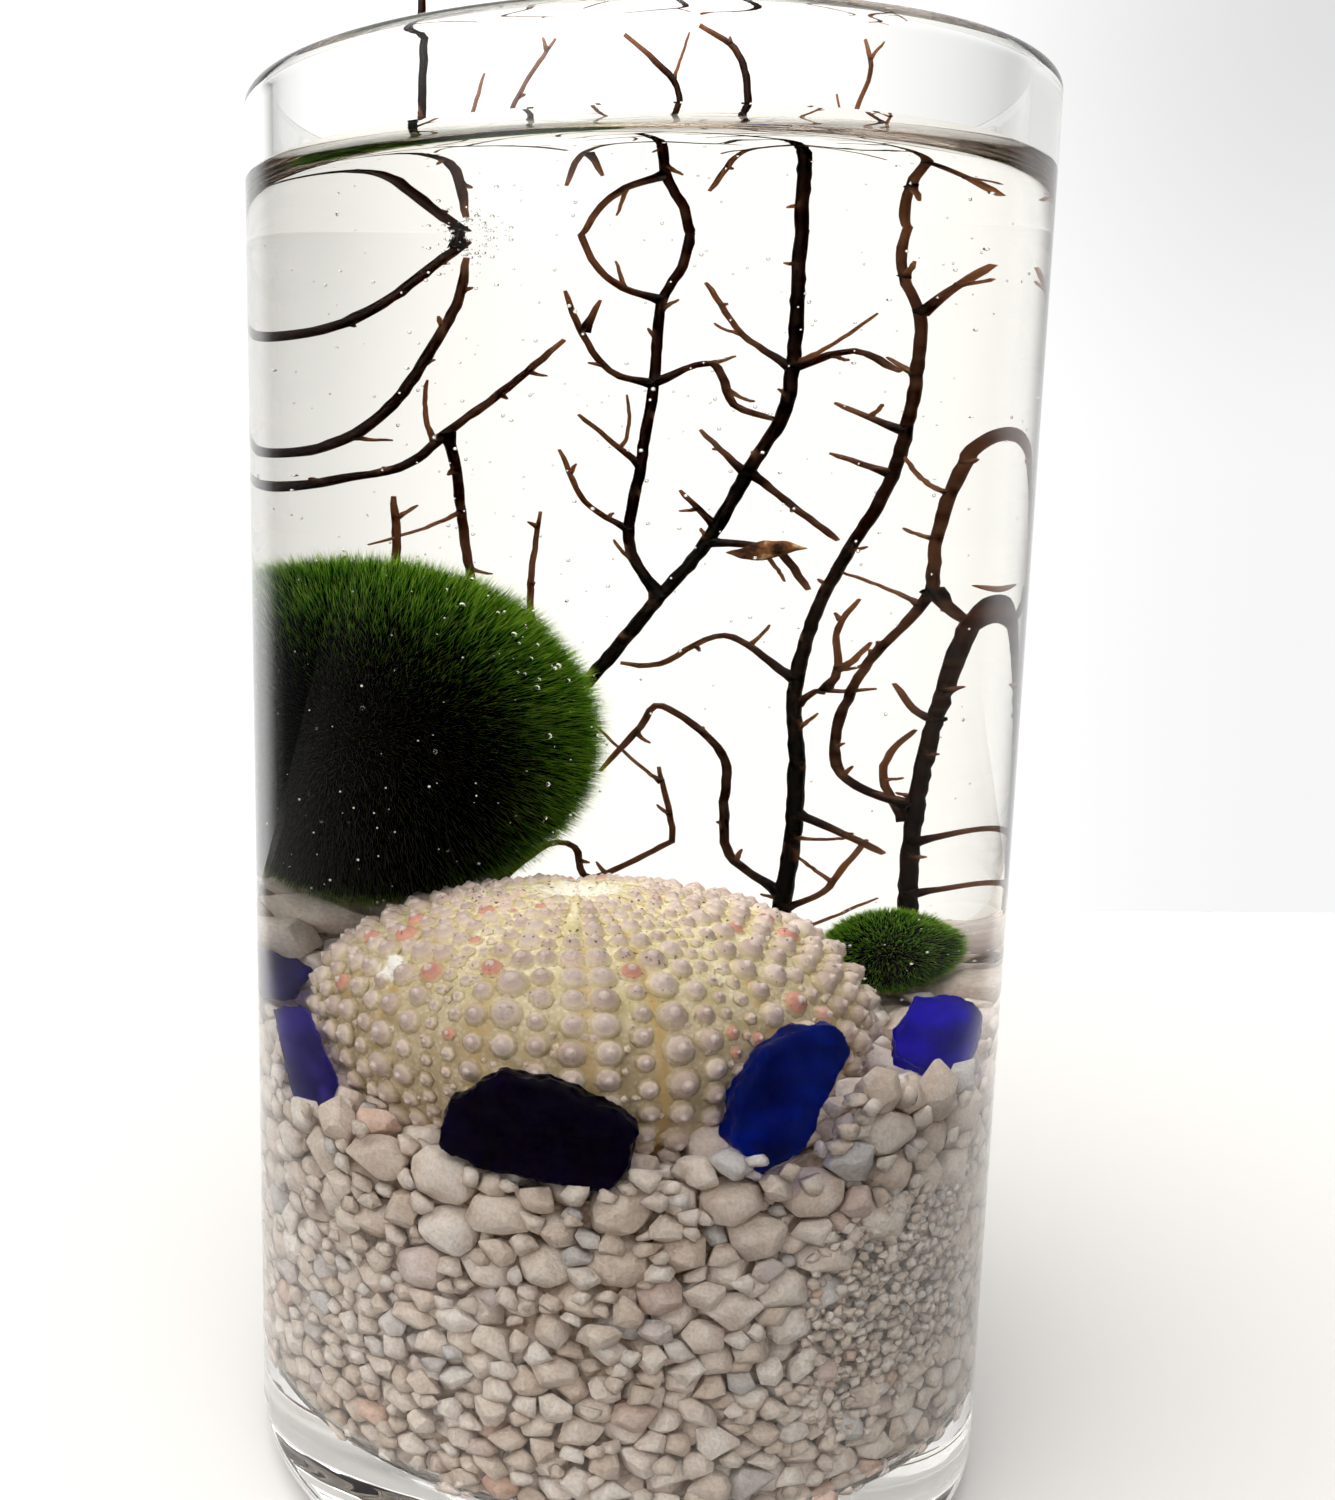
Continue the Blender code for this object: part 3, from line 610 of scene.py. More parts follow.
def make_gravel():
    """Loose chips along the wall and on top, a pocket of grit, and the bed's heart behind them."""
    finish = crushed_stone()
    wall = heap_chips(wall_spot, 11, CHIP_SIZES, CHIP_TRIES, False)
    top = heap_chips(top_spot, 12, CHIP_SIZES, CHIP_TRIES, False)
    sides = len(wall.balls)
    for spot, size in top.balls:
        wall.throw(spot, size)
    grit = heap_chips(wall_spot, 13, FINES_SIZES, FINES_TRIES, True)
    layers = (("gravel_chips_wall", wall, 0, sides, WORN_FROM, 14),
              ("gravel_chips_top", wall, sides, None, WORN_FROM, 15),
              ("gravel_grit", grit, 0, None, inf, 16))
    for name, heap, first, last, worn_from, seed in layers:
        shape, counts = chips_mesh(heap, first, last, seed, worn_from)
        mark(add_piece(name, shape, finish), "tone", tones(counts, seed))
    core = [(0.0, CORE_FLOOR)]
    core += arc(CORE_REACH - FLOOR_FILLET, CORE_FLOOR + FLOOR_FILLET, FLOOR_FILLET, -90, 0, 4)
    core += [(CORE_REACH * (1 - i / CORE_RINGS), BED_MARK) for i in range(CORE_RINGS + 1)]
    shape = turned(core, CORE_STEPS)
    for vertex in shape.verts:
        if abs(vertex.co.z - BED_MARK) < 0.01:
            vertex.co.z = bed_top(vertex.co.x, vertex.co.y) - CORE_DEPTH
    add_piece("gravel_core", shape, shaded_stone(), ["gravel_bed"])


# ---------------------------------------------------------------- moss balls

PRESSED = INNER_RADIUS - 0.35
# painted shade: the large ball's moss is painted darker round this spot on its low front
PAINTED_SHADE_SPOT = Vector((-25.0, -9.5, 78.5))    # the large ball is darkest round here, its low front
PAINTED_SHADE_REACH = (9.0, 24.0)    # to the first distance, and back to its own green from the second on
PAINTED_SHADE_DEPTH = 0.08
MOSS_GLOW = 0.85             # the share of light that goes through a filament
BALL_LUMPS = 2.5             # how fine the lumps of a ball are, on a ball of radius 1
BALL_DENTS = (0.25, 0.9)     # how deep its small dents are, and how many in a millimetre
TUFT_LEAN = 2.5              # filaments of a tuft lean together this much more than each for itself
# Each coat of filaments: its name, how many stand on a square millimetre, their length and width,
# how far they lean, their seed, and whether they wear the "inner" finish, a darker copy in painted shade,
# or the "outer" one.
LARGE_COATS = (
    ("marimo_large_velvet", 6.6, 1.9, 0.1, 0.3, 22, "inner"),
    ("marimo_large_pile", 7.8, 2.5, 0.1, 0.16, 21, "inner"),
    ("marimo_large_fringe", 7.6, 3.3, 0.085, 0.25, 24, "outer"))
SMALL_COATS = (("marimo_small_pile", 30.0, 1.2, 0.1, 0.35, 27, "outer"),)


def moss_finish(name, root, middle, tip):
    """Living filaments of green algae, in water, so without shine. Light that falls on them goes in between
    them and is lost, but where it comes from behind, it glows through bright green. Their colour carries
    painted shade: darker towards their roots, deep in the pile, and round a spot on the large ball's low
    front."""
    made, tree, shader = new_material(name, Roughness=0.8, Specular_IOR_Level=0.0)
    spot = add_node(tree, "ShaderNodeTexCoord").outputs["Object"]
    along = add_node(tree, "ShaderNodeAttribute", attribute_name="along").outputs["Fac"]
    patch = add_node(tree, "ShaderNodeTexNoise", {"Vector": spot, "Scale": 0.22 * PER_MM, "Detail": 3.0})
    # painted shade: the filaments' colour darkens towards their roots, as shade deep in the pile
    shifted = add_node(tree, "ShaderNodeMath", {
        0: patch.outputs["Fac"], 1: 0.4, 2: along}, operation="MULTIPLY_ADD").outputs[0]
    skin = add_node(tree, "ShaderNodeValToRGB", {"Fac": shifted}, stops=(
        (0.35, "#010200"), (0.8, "#060F03"), (1.0, "#142807"))).outputs["Color"]
    glow = add_node(tree, "ShaderNodeValToRGB", {"Fac": shifted}, stops=(
        (0.3, root), (0.65, middle), (1.0, tip))).outputs["Color"]
    # painted shade: darkest near the spot on the large ball's low front, back to its own green further off
    away = add_node(tree, "ShaderNodeVectorMath", {0: spot, 1: PAINTED_SHADE_SPOT * MM}, operation="DISTANCE")
    shade = add_node(tree, "ShaderNodeMapRange", {
        "Value": away.outputs["Value"], "From Min": PAINTED_SHADE_REACH[0] * MM, "From Max": PAINTED_SHADE_REACH[1] * MM,
        "To Min": PAINTED_SHADE_DEPTH, "To Max": 1.0}, interpolation_type="SMOOTHSTEP").outputs["Result"]
    skin, glow = [add_node(tree, "ShaderNodeVectorMath", {
        0: colour, "Scale": shade}, operation="SCALE").outputs[0] for colour in (skin, glow)]
    feed(tree, shader, {"Base Color": skin})
    through = add_node(tree, "ShaderNodeBsdfTranslucent", {"Color": glow})
    mixed = add_node(tree, "ShaderNodeMixShader", {
        0: MOSS_GLOW, 1: shader.outputs[0], 2: through.outputs[0]})
    feed(tree, tree.nodes["Material Output"], {"Surface": mixed.outputs[0]})
    return made


def fibre_tree(density, length, thickness, lean, seed):
    """Geometry nodes that stand thin, three-sided fibres all over a mesh, leaning together in
    tufts, and that press those which meet the glass flat along it."""
    tree = bpy.data.node_groups.new("moss fibres", "GeometryNodeTree")
    tree.interface.new_socket("Geometry", in_out="INPUT", socket_type="NodeSocketGeometry")
    tree.interface.new_socket("Geometry", in_out="OUTPUT", socket_type="NodeSocketGeometry")
    body = add_node(tree, "NodeGroupInput").outputs[0]
    roots = add_node(tree, "GeometryNodeDistributePointsOnFaces", {
        "Mesh": body, "Density": density / MM ** 2, "Seed": seed}, distribute_method="RANDOM")
    fibre = add_node(tree, "GeometryNodeMeshCone", {
        "Vertices": 3, "Radius Top": 0.0, "Radius Bottom": thickness / 2 * MM, "Depth": length * MM},
        fill_type="NGON")
    place = add_node(tree, "GeometryNodeInputPosition").outputs[0]
    height = add_node(tree, "ShaderNodeSeparateXYZ", {"Vector": place}).outputs["Z"]
    share = add_node(tree, "ShaderNodeMath", {0: height, 1: length * MM}, operation="DIVIDE").outputs[0]
    named = add_node(tree, "GeometryNodeStoreNamedAttribute", {
        "Geometry": fibre.outputs["Mesh"], "Name": "along", "Value": share},
        data_type="FLOAT", domain="POINT")
    tuft = add_node(tree, "ShaderNodeTexNoise", {"Vector": place, "Scale": 0.7 * PER_MM, "Detail": 1.0})
    tufted = add_node(tree, "ShaderNodeVectorMath", {
        0: tuft.outputs["Color"], 1: (-0.5, -0.5, -0.5)}, operation="ADD").outputs[0]
    tufted = add_node(tree, "ShaderNodeVectorMath", {
        0: tufted, "Scale": TUFT_LEAN * lean}, operation="SCALE").outputs[0]
    loose = add_node(tree, "FunctionNodeRandomValue", {
        0: (-lean, -lean, -3.0), 1: (lean, lean, 3.0), "Seed": seed + 1}, data_type="FLOAT_VECTOR")
    turn = add_node(tree, "ShaderNodeVectorMath", {
        0: tufted, 1: loose.outputs[0]}, operation="ADD").outputs[0]
    turn = add_node(tree, "FunctionNodeEulerToRotation", {"Euler": turn}).outputs[0]
    turn = add_node(tree, "FunctionNodeRotateRotation", {
        "Rotation": roots.outputs["Rotation"], "Rotate By": turn}, rotation_space="LOCAL").outputs[0]
    size = add_node(tree, "FunctionNodeRandomValue", {
        2: 0.55, 3: 1.0, "Seed": seed + 2}, data_type="FLOAT").outputs[1]
    size = add_node(tree, "ShaderNodeCombineXYZ", {"X": 1.0, "Y": 1.0, "Z": size}).outputs[0]
    stood = add_node(tree, "GeometryNodeInstanceOnPoints", {
        "Points": roots.outputs["Points"], "Instance": named.outputs[0], "Rotation": turn, "Scale": size})
    real = add_node(tree, "GeometryNodeRealizeInstances", {"Geometry": stood.outputs[0]}).outputs[0]
    flat = add_node(tree, "ShaderNodeVectorMath", {
        0: place, 1: (1.0, 1.0, 0.0)}, operation="MULTIPLY").outputs[0]
    reach = add_node(tree, "ShaderNodeVectorMath", {0: flat}, operation="LENGTH").outputs["Value"]
    held = add_node(tree, "ShaderNodeMath", {0: PRESSED * MM, 1: reach}, operation="DIVIDE").outputs[0]
    held = add_node(tree, "ShaderNodeMath", {0: held, 1: 1.0}, operation="MINIMUM").outputs[0]
    held = add_node(tree, "ShaderNodeCombineXYZ", {"X": held, "Y": held, "Z": 1.0}).outputs[0]
    pressed = add_node(tree, "ShaderNodeVectorMath", {0: place, 1: held}, operation="MULTIPLY").outputs[0]
    moved = add_node(tree, "GeometryNodeSetPosition", {"Geometry": real, "Position": pressed})
    feed(tree, add_node(tree, "NodeGroupOutput"), {0: moved.outputs[0]})
    return tree


def moss_body(centre, across, up, short, wobble):
    """A lumpy ball, smaller than the real one by the fibres' length, and flat where it is pressed."""
    bm = bmesh.new()
    bmesh.ops.create_icosphere(bm, subdivisions=4, radius=1.0)
    pressed = PRESSED - 0.3
    for vertex in bm.verts:
        way = vertex.co.copy()
        swell = 1.0 + wobble * noise.noise(way * BALL_LUMPS) / across
        fine = BALL_DENTS[0] * noise.noise(way * across * BALL_DENTS[1])
        vertex.co = Vector((way.x * (across - short + fine), way.y * (across - short + fine),
                            way.z * (up - short + fine))) * swell + Vector(centre)
        reach = hypot(vertex.co.x, vertex.co.y)
        if reach > pressed:
            vertex.co.x *= pressed / reach
            vertex.co.y *= pressed / reach
    return bm


def coat(name, body, density, length, thickness, lean, seed, finish):
    """A piece of fibres that stand on a body."""
    carrier = add_object(name + "_roots", body.data)
    step = carrier.modifiers.new("fibres", "NODES")
    step.node_group = fibre_tree(density, length, thickness, lean, seed)
    add_piece(name, shaped(carrier), finish)


def make_moss():
    """Two balls, each a dark body with coats of filaments all over it."""
    deep = new_material("moss in its own shade", Base_Color=linear("#030602"), Roughness=1.0,
                        Specular_IOR_Level=0.0)[0]
    # painted shade: the inner coats' finish is a darker copy of the tips' finish
    finishes = {"inner": moss_finish("moss filaments in painted shade", "#070F04", "#2A4A14", "#6E9040"),
                "outer": moss_finish("moss filament tips", "#12300A", "#7CBE34", "#E8FF96")}
    for node, ball, short, wobble, coats in (("marimo_large", BALL_LARGE, 1.9, 0.6, LARGE_COATS),
                                             ("marimo_small", BALL_SMALL, 1.1, 0.35, SMALL_COATS)):
        body = add_piece(node + "_body", moss_body(*ball, short, wobble), deep, [node])
        for name, *settings, finish in coats:
            coat(name, body, *settings, finishes[finish])


# ---------------------------------------------------------------- urchin shell

SHELL_FIFTH = 2 * pi / 5
SHELL_TURNED = -0.5 * pi + 0.03      # the middle of one double column faces the front
# Each fifth has ten columns of knobs: its place across a fifth in millimetres at the shell's
# widest, the knobs' radius and how far apart they are down the column.
SHELL_COLUMNS = (
    (-1.65, 1.26, 2.65), (1.65, 1.26, 2.65), (5.1, 1.0, 2.5), (8.2, 1.36, 3.25), (11.4, 1.1, 2.7),
    (14.0, 0.7, 1.9), (16.5, 0.7, 2.0), (19.1, 1.1, 2.75), (22.3, 1.36, 3.3), (25.4, 1.0, 2.5))
SEAMS = (3.45, -3.45, 15.3)          # where the plates meet: beside each double column, and between
SEAM_WIDTH = 0.75
SEAM_DEPTH = 0.25
SHELL_WAVES = ((0.14, 0.9), (0.07, 2.6))     # its unevenness: how deep, and how many in a millimetre
COLUMN_ENDS = (5.2, 5.0)             # each column begins and ends this far down and up the side
KNOB_GROWTH = (0.2, 1.05)            # a knob's size at the top, and its growth out to the shell's edge
KNOB_SPREAD = (0.84, 1.1)            # how far each may be off its size
KNOB_HEIGHT = 0.92                   # of the knob's radius
CROWN_RADIUS = 3.4
CROWN_DEPTH = 1.5
CROWN_SLOPE = 1.4
KNOB_FOOT = 1.2                      # the skirt round a knob, of the knob's radius
THIN_KNOB = 0.7              # knobs of at most this radius are made of fewer faces
LOST_KNOB = 0.4              # half of those smaller than this, near the top, are left out
GRAINS = 540                 # tiny knobs, scattered between the rows
CHALK_SPOT = Vector((-21.0, -19.8, 63.0))    # a chip in its skin, white as chalk


def shell_point(turn, down):
    """A point on the bare shell, and which way it faces: turn round it, and down from its top."""
    way = Vector((cos(turn) * sin(down), sin(turn) * sin(down), cos(down)))
    spot = Vector((way.x * SHELL_RADIUS, way.y * SHELL_RADIUS, way.z * SHELL_HALF_HEIGHT))
    face = Vector((way.x / SHELL_RADIUS, way.y / SHELL_RADIUS, way.z / SHELL_HALF_HEIGHT)).normalized()
    return spot, face


def shell_side():
    """How long the shell's side is from its top down to each degree, in millimetres."""
    spots = [shell_point(0.0, pi * i / 180)[0] for i in range(181)]
    lengths = [0.0]
    for first, second in zip(spots, spots[1:]):
        lengths.append(lengths[-1] + (second - first).length)
    return lengths


def knob_shape(sides, steps):
    """One knob, of radius 1: a round boss on a low skirt, with a tiny nipple on top."""
    skirt = 0.16
    profile = [(0.0, -0.25), (KNOB_FOOT, -0.25), (KNOB_FOOT, 0.02)]
    profile += [(0.94 * cos(a) ** 0.8, skirt + (KNOB_HEIGHT - skirt) * sin(a))
                for a in [radians(72 * i / steps) for i in range(steps + 1)]]
    profile += [(0.24, KNOB_HEIGHT + 0.02), (0.2, KNOB_HEIGHT + 0.14), (0.0, KNOB_HEIGHT + 0.18)]
    return to_mesh("knob", turned(profile, sides))


def bare_shell():
    """The shell without knobs, seamed between its plates, and how deep in a seam each point is."""
    bm = bmesh.new()
    bmesh.ops.create_uvsphere(bm, u_segments=144, v_segments=56, radius=1.0)
    seams = []
    for vertex in bm.verts:
        way = vertex.co.normalized()
        turn = atan2(way.y, way.x)
        spot, face = shell_point(turn, way.angle(Vector((0.0, 0.0, 1.0))))
        across = ((turn - SHELL_TURNED) % SHELL_FIFTH) / SHELL_FIFTH
        apart = [abs((across - seam / (SHELL_FIFTH * SHELL_RADIUS) + 0.5) % 1.0 - 0.5) for seam in SEAMS]
        near = exp(-(min(apart) * SHELL_FIFTH * SHELL_RADIUS / SEAM_WIDTH) ** 2)
        ring = hypot(spot.x, spot.y)
        waves = sum(deep * noise.noise(spot * fine) for deep, fine in SHELL_WAVES)
        spot += face * (waves - SEAM_DEPTH * near)
        sunk = CROWN_DEPTH * smooth_step((CROWN_RADIUS - ring) / CROWN_SLOPE)
        spot.z -= sunk if way.z > 0.0 else -sunk
        seams.append(near * smooth_step(ring / 9.0))
        vertex.co = spot
    return bm, seams


def stand_knob(whole, marks, mould, spot, face, size, hue):
    """Stand a knob on the shell, and mark its points for the finish."""
    knob = mould.copy()
    knob.transform(Matrix.Translation(spot) @ face.to_track_quat("Z", "Y").to_matrix().to_4x4()
                   @ Matrix.Scale(size, 4))
    whole.from_mesh(knob)
    bpy.data.meshes.remove(knob)
    marks["tip"] += [held_in(vertex.co.z / KNOB_HEIGHT) for vertex in mould.vertices]
    marks["seam"] += [0.0] * len(mould.vertices)
    marks["hue"] += [hue] * len(mould.vertices)


def make_shell():
    """The shell with its columns of knobs, and grains scattered between them."""
    rng = Random(31)
    whole, seams = bare_shell()
    marks = {"tip": [0.0] * len(seams), "seam": seams, "hue": [0.5] * len(seams)}
    large, small, grain = knob_shape(9, 2), knob_shape(6, 1), knob_shape(5, 1)
    side = shell_side()
    for fifth in range(5):
        for across, radius, pitch in SHELL_COLUMNS:
            mould = large if radius > THIN_KNOB else small
            turn = SHELL_TURNED + SHELL_FIFTH * fifth + across / SHELL_RADIUS
            along = COLUMN_ENDS[0] + pitch * rng.random()
            while along < side[-1] - COLUMN_ENDS[1]:
                down = pi / 180 * np.interp(along, side, range(181))
                spot, face = shell_point(turn + rng.uniform(-0.008, 0.008), down)
                shrink = min(1.0, KNOB_GROWTH[0] + KNOB_GROWTH[1] * hypot(spot.x, spot.y) / SHELL_RADIUS)
                size = radius * shrink * rng.uniform(*KNOB_SPREAD)
                along += pitch * (0.35 + 0.65 * shrink) * rng.uniform(0.93, 1.07)
                if size >= LOST_KNOB or rng.random() >= 0.5:
                    stand_knob(whole, marks, mould, spot, face, size, rng.random())
    for _ in range(GRAINS):
        down = rng.uniform(0.75, 2.4)
        spot, face = shell_point(rng.uniform(0.0, 2 * pi), down)
        size = rng.uniform(0.26, 0.52) * sin(down) ** 0.5
        stand_knob(whole, marks, grain, spot, face, size, rng.random())
    for mould in (large, small, grain):
        bpy.data.meshes.remove(mould)
    place = Matrix.Translation(SHELL_CENTRE) @ Matrix.Rotation(-radians(SHELL_LEAN), 4, "Y")
    bmesh.ops.transform(whole, matrix=place, verts=whole.verts)
    shell = add_piece("urchin_test", whole, urchin_finish(), ["urchin_shell"])
    for name, values in marks.items():
        mark(shell, name, values)


def urchin_finish():
    """The bare, dried test of an urchin: chalky and matt. Its knobs are a pale mauve-cream, on a
    granular cream ground that turns yellow-green to the top and ochre in the seams."""
    made, tree, shader = new_material("dried urchin test", Roughness=0.8, Specular_IOR_Level=0.15)
    spot = add_node(tree, "ShaderNodeTexCoord").outputs["Object"]
    tip, seam, hue = [add_node(tree, "ShaderNodeAttribute", attribute_name=name).outputs["Fac"]
                      for name in ("tip", "seam", "hue")]
    height = add_node(tree, "ShaderNodeSeparateXYZ", {"Vector": spot}).outputs["Z"]
    cloud, rough, dirt = [add_node(tree, "ShaderNodeTexNoise", {
        "Vector": spot, "Scale": in_a_mm * PER_MM, "Detail": detail}).outputs["Fac"]
        for in_a_mm, detail in ((0.35, 4.0), (3.0, 3.0), (2.0, 2.0))]
    grains = add_node(tree, "ShaderNodeTexVoronoi", {
        "Vector": spot, "Scale": 1.9 * PER_MM}).outputs["Distance"]
    ground, green, top, knob = [add_node(tree, "ShaderNodeValToRGB", {
        "Fac": value}, stops=stops).outputs["Color"] for value, stops in (
            (cloud, ((0.32, "#B0A28A"), (0.5, "#C0B29C"), (0.68, "#D2C6B4"))),
            (cloud, ((0.35, "#E2DBB2"), (0.6, "#F6F2DC"))),
            (hue, ((0.0, "#DCCFCA"), (0.45, "#EBE0DA"), (0.95, "#FAF3EE"), (0.97, "#EDB8AC"))),
            (tip, ((0.15, "#DED3BC"), (0.5, "#EBE2D6"), (0.85, "#D9CCC8"), (1.0, "#D2C2BE"))))]
    knob = add_node(tree, "ShaderNodeMix", {"Factor": 1.0, "A": knob, "B": top},
                    data_type="RGBA", blend_type="MULTIPLY").outputs[2]
    # The crown's skin and the chalk spot have frayed edges: distances with some noise added.
    crown_middle = SHELL_CENTRE + Vector((-0.8, 0.0, SHELL_HALF_HEIGHT))
    crown, chalk = [add_node(tree, "ShaderNodeMath", {
        0: fray, 1: width * MM, 2: add_node(tree, "ShaderNodeVectorMath", {
            0: spot, 1: middle * MM}, operation="DISTANCE").outputs["Value"]},
        operation="MULTIPLY_ADD").outputs[0]
        for fray, width, middle in ((grains, 3.0, crown_middle), (cloud, 5.0, CHALK_SPOT))]
    high, grain, side, nipple, crown, chalk, dirt = [add_node(tree, "ShaderNodeMapRange", {
        "Value": value, "From Min": low, "From Max": full, "To Max": most}).outputs["Result"]
        for value, low, full, most in (
            (height, 58 * MM, 69 * MM, 1.0), (grains, 0.15, 0.6, 1.0), (tip, 0.03, 0.3, 1.0),
            (tip, 0.9, 1.0, 1.0), (crown, 6.2 * MM, 4.4 * MM, 1.0), (chalk, 4.7 * MM, 3.7 * MM, 1.0),
            (dirt, 0.66, 0.7, 0.9))]
    dirt = add_node(tree, "ShaderNodeMath", {0: dirt, 1: high}, operation="MULTIPLY").outputs[0]
    colour = ground
    for blend, share, over in (
            ("MIX", high, green), ("MULTIPLY", grain, linear("#F1E8D6")), ("MIX", seam, linear("#BFA06C")),
            ("MIX", side, knob), ("MIX", nipple, linear("#DACBC4")), ("MIX", crown, linear("#F2EDE0")),
            ("MIX", chalk, linear("#FAF8F4")), ("MIX", dirt, linear("#24201A"))):
        colour = add_node(tree, "ShaderNodeMix", {"Factor": share, "A": colour, "B": over},
                          data_type="RGBA", blend_type=blend).outputs[2]
    bump = add_node(tree, "ShaderNodeBump", {
        "Height": rough, "Strength": 0.5, "Distance": 0.1 * MM}).outputs["Normal"]
    bump = add_node(tree, "ShaderNodeBump", {
        "Height": grain, "Strength": 0.4, "Distance": 0.12 * MM, "Normal": bump}, invert=True)
    feed(tree, shader, {"Base Color": colour, "Normal": bump.outputs["Normal"]})
    return made


# ---------------------------------------------------------------- sea glass

GLASS_GRAIN = 0.36           # size of the fine mesh that a worn piece is shaped from
GLASS_DARKER = 0.45          # how dark its darker clouds are, of its colour
RUBS = 4                     # rounds of smoothing
GLASS_WAVES = ((0.5, 0.55), (0.22, 1.7))     # its unevenness: how deep, and how many in a millimetre
GLASS_LOSS = 0.12            # how much the sea has taken off it
FACE_SHARE = 0.35            # its broad faces have this much of both


def frosted_glass(name, colour):
    """Cobalt glass frosted by sand and sea: it lets a deep, even blue through, blurred by the
    fine pits of its skin, and is darker or more violet where its metal oxides gather."""
    made, tree, shader = new_material(name, Roughness=0.3, IOR=GLASS_IOR / WATER_IOR,
                                      Transmission_Weight=0.85)
    spot = add_node(tree, "ShaderNodeTexCoord").outputs["Object"]
    cloud = add_node(tree, "ShaderNodeTexNoise", {"Vector": spot, "Scale": 0.16 * PER_MM, "Detail": 2.0})
    tone = add_node(tree, "ShaderNodeMapRange", {
        "Value": cloud.outputs["Fac"], "From Min": 0.35, "From Max": 0.65}).outputs["Result"]
    darker = [GLASS_DARKER * part for part in linear(colour)[:3]] + [1.0]
    body = add_node(tree, "ShaderNodeMix", {"Factor": tone, "A": linear(colour), "B": darker},
                    data_type="RGBA", blend_type="MIX").outputs[2]
    pits = add_node(tree, "ShaderNodeTexNoise", {"Vector": spot, "Scale": 3.5 * PER_MM, "Detail": 3.0})
    bump = add_node(tree, "ShaderNodeBump", {
        "Height": pits.outputs["Fac"], "Strength": 0.4, "Distance": 0.06 * MM})
    feed(tree, shader, {"Base Color": body, "Normal": bump.outputs["Normal"]})
    return made


def worn_piece(outline, thickness):
    """A broken piece of bottle, its outline thickened, remeshed finely and rubbed round."""
    bm = bmesh.new()
    face = bm.faces.new([bm.verts.new((x, y, -thickness / 2)) for x, y in outline])
    grown = bmesh.ops.extrude_face_region(bm, geom=[face])["geom"]
    front = [v for v in grown if isinstance(v, bmesh.types.BMVert)]
    bmesh.ops.translate(bm, vec=(0, 0, thickness), verts=front)
    bmesh.ops.recalc_face_normals(bm, faces=bm.faces)
    holder = add_object("shard", to_mesh("shard", bm))
    remesh = holder.modifiers.new("fine", "REMESH")
    remesh.mode = "VOXEL"
    remesh.voxel_size = GLASS_GRAIN
    bm = to_bmesh(shaped(holder))
    for _ in range(RUBS):
        bmesh.ops.smooth_vert(bm, verts=bm.verts, factor=0.5, use_axis_x=True, use_axis_y=True,
                              use_axis_z=True)
    bm.normal_update()
    for vertex in bm.verts:
        waves = sum(deep * noise.noise(vertex.co * fine) for deep, fine in GLASS_WAVES)
        share = FACE_SHARE if abs(vertex.normal.z) > 0.7 else 1.0
        vertex.co += vertex.normal * (waves - GLASS_LOSS) * share
    return bm


def make_sea_glass():
    """Five worn pieces, each placed as its solid is."""
    for name, slot, colour, centre, turn, lean, thickness, outline in SEA_GLASS:
        bm = worn_piece(outline, thickness)
        bmesh.ops.transform(bm, matrix=glass_place(centre, turn, lean), verts=bm.verts)
        finish = frosted_glass("frosted " + slot.replace("_", " "), colour)
        add_piece(name + "_worn", bm, finish, [name])


# ---------------------------------------------------------------- sea fan

FAN_RADIUS = 37.9            # distance of its stems from the vase's axis
ROOT_LEVEL = 51.8
STEM_FOOT = 53.3
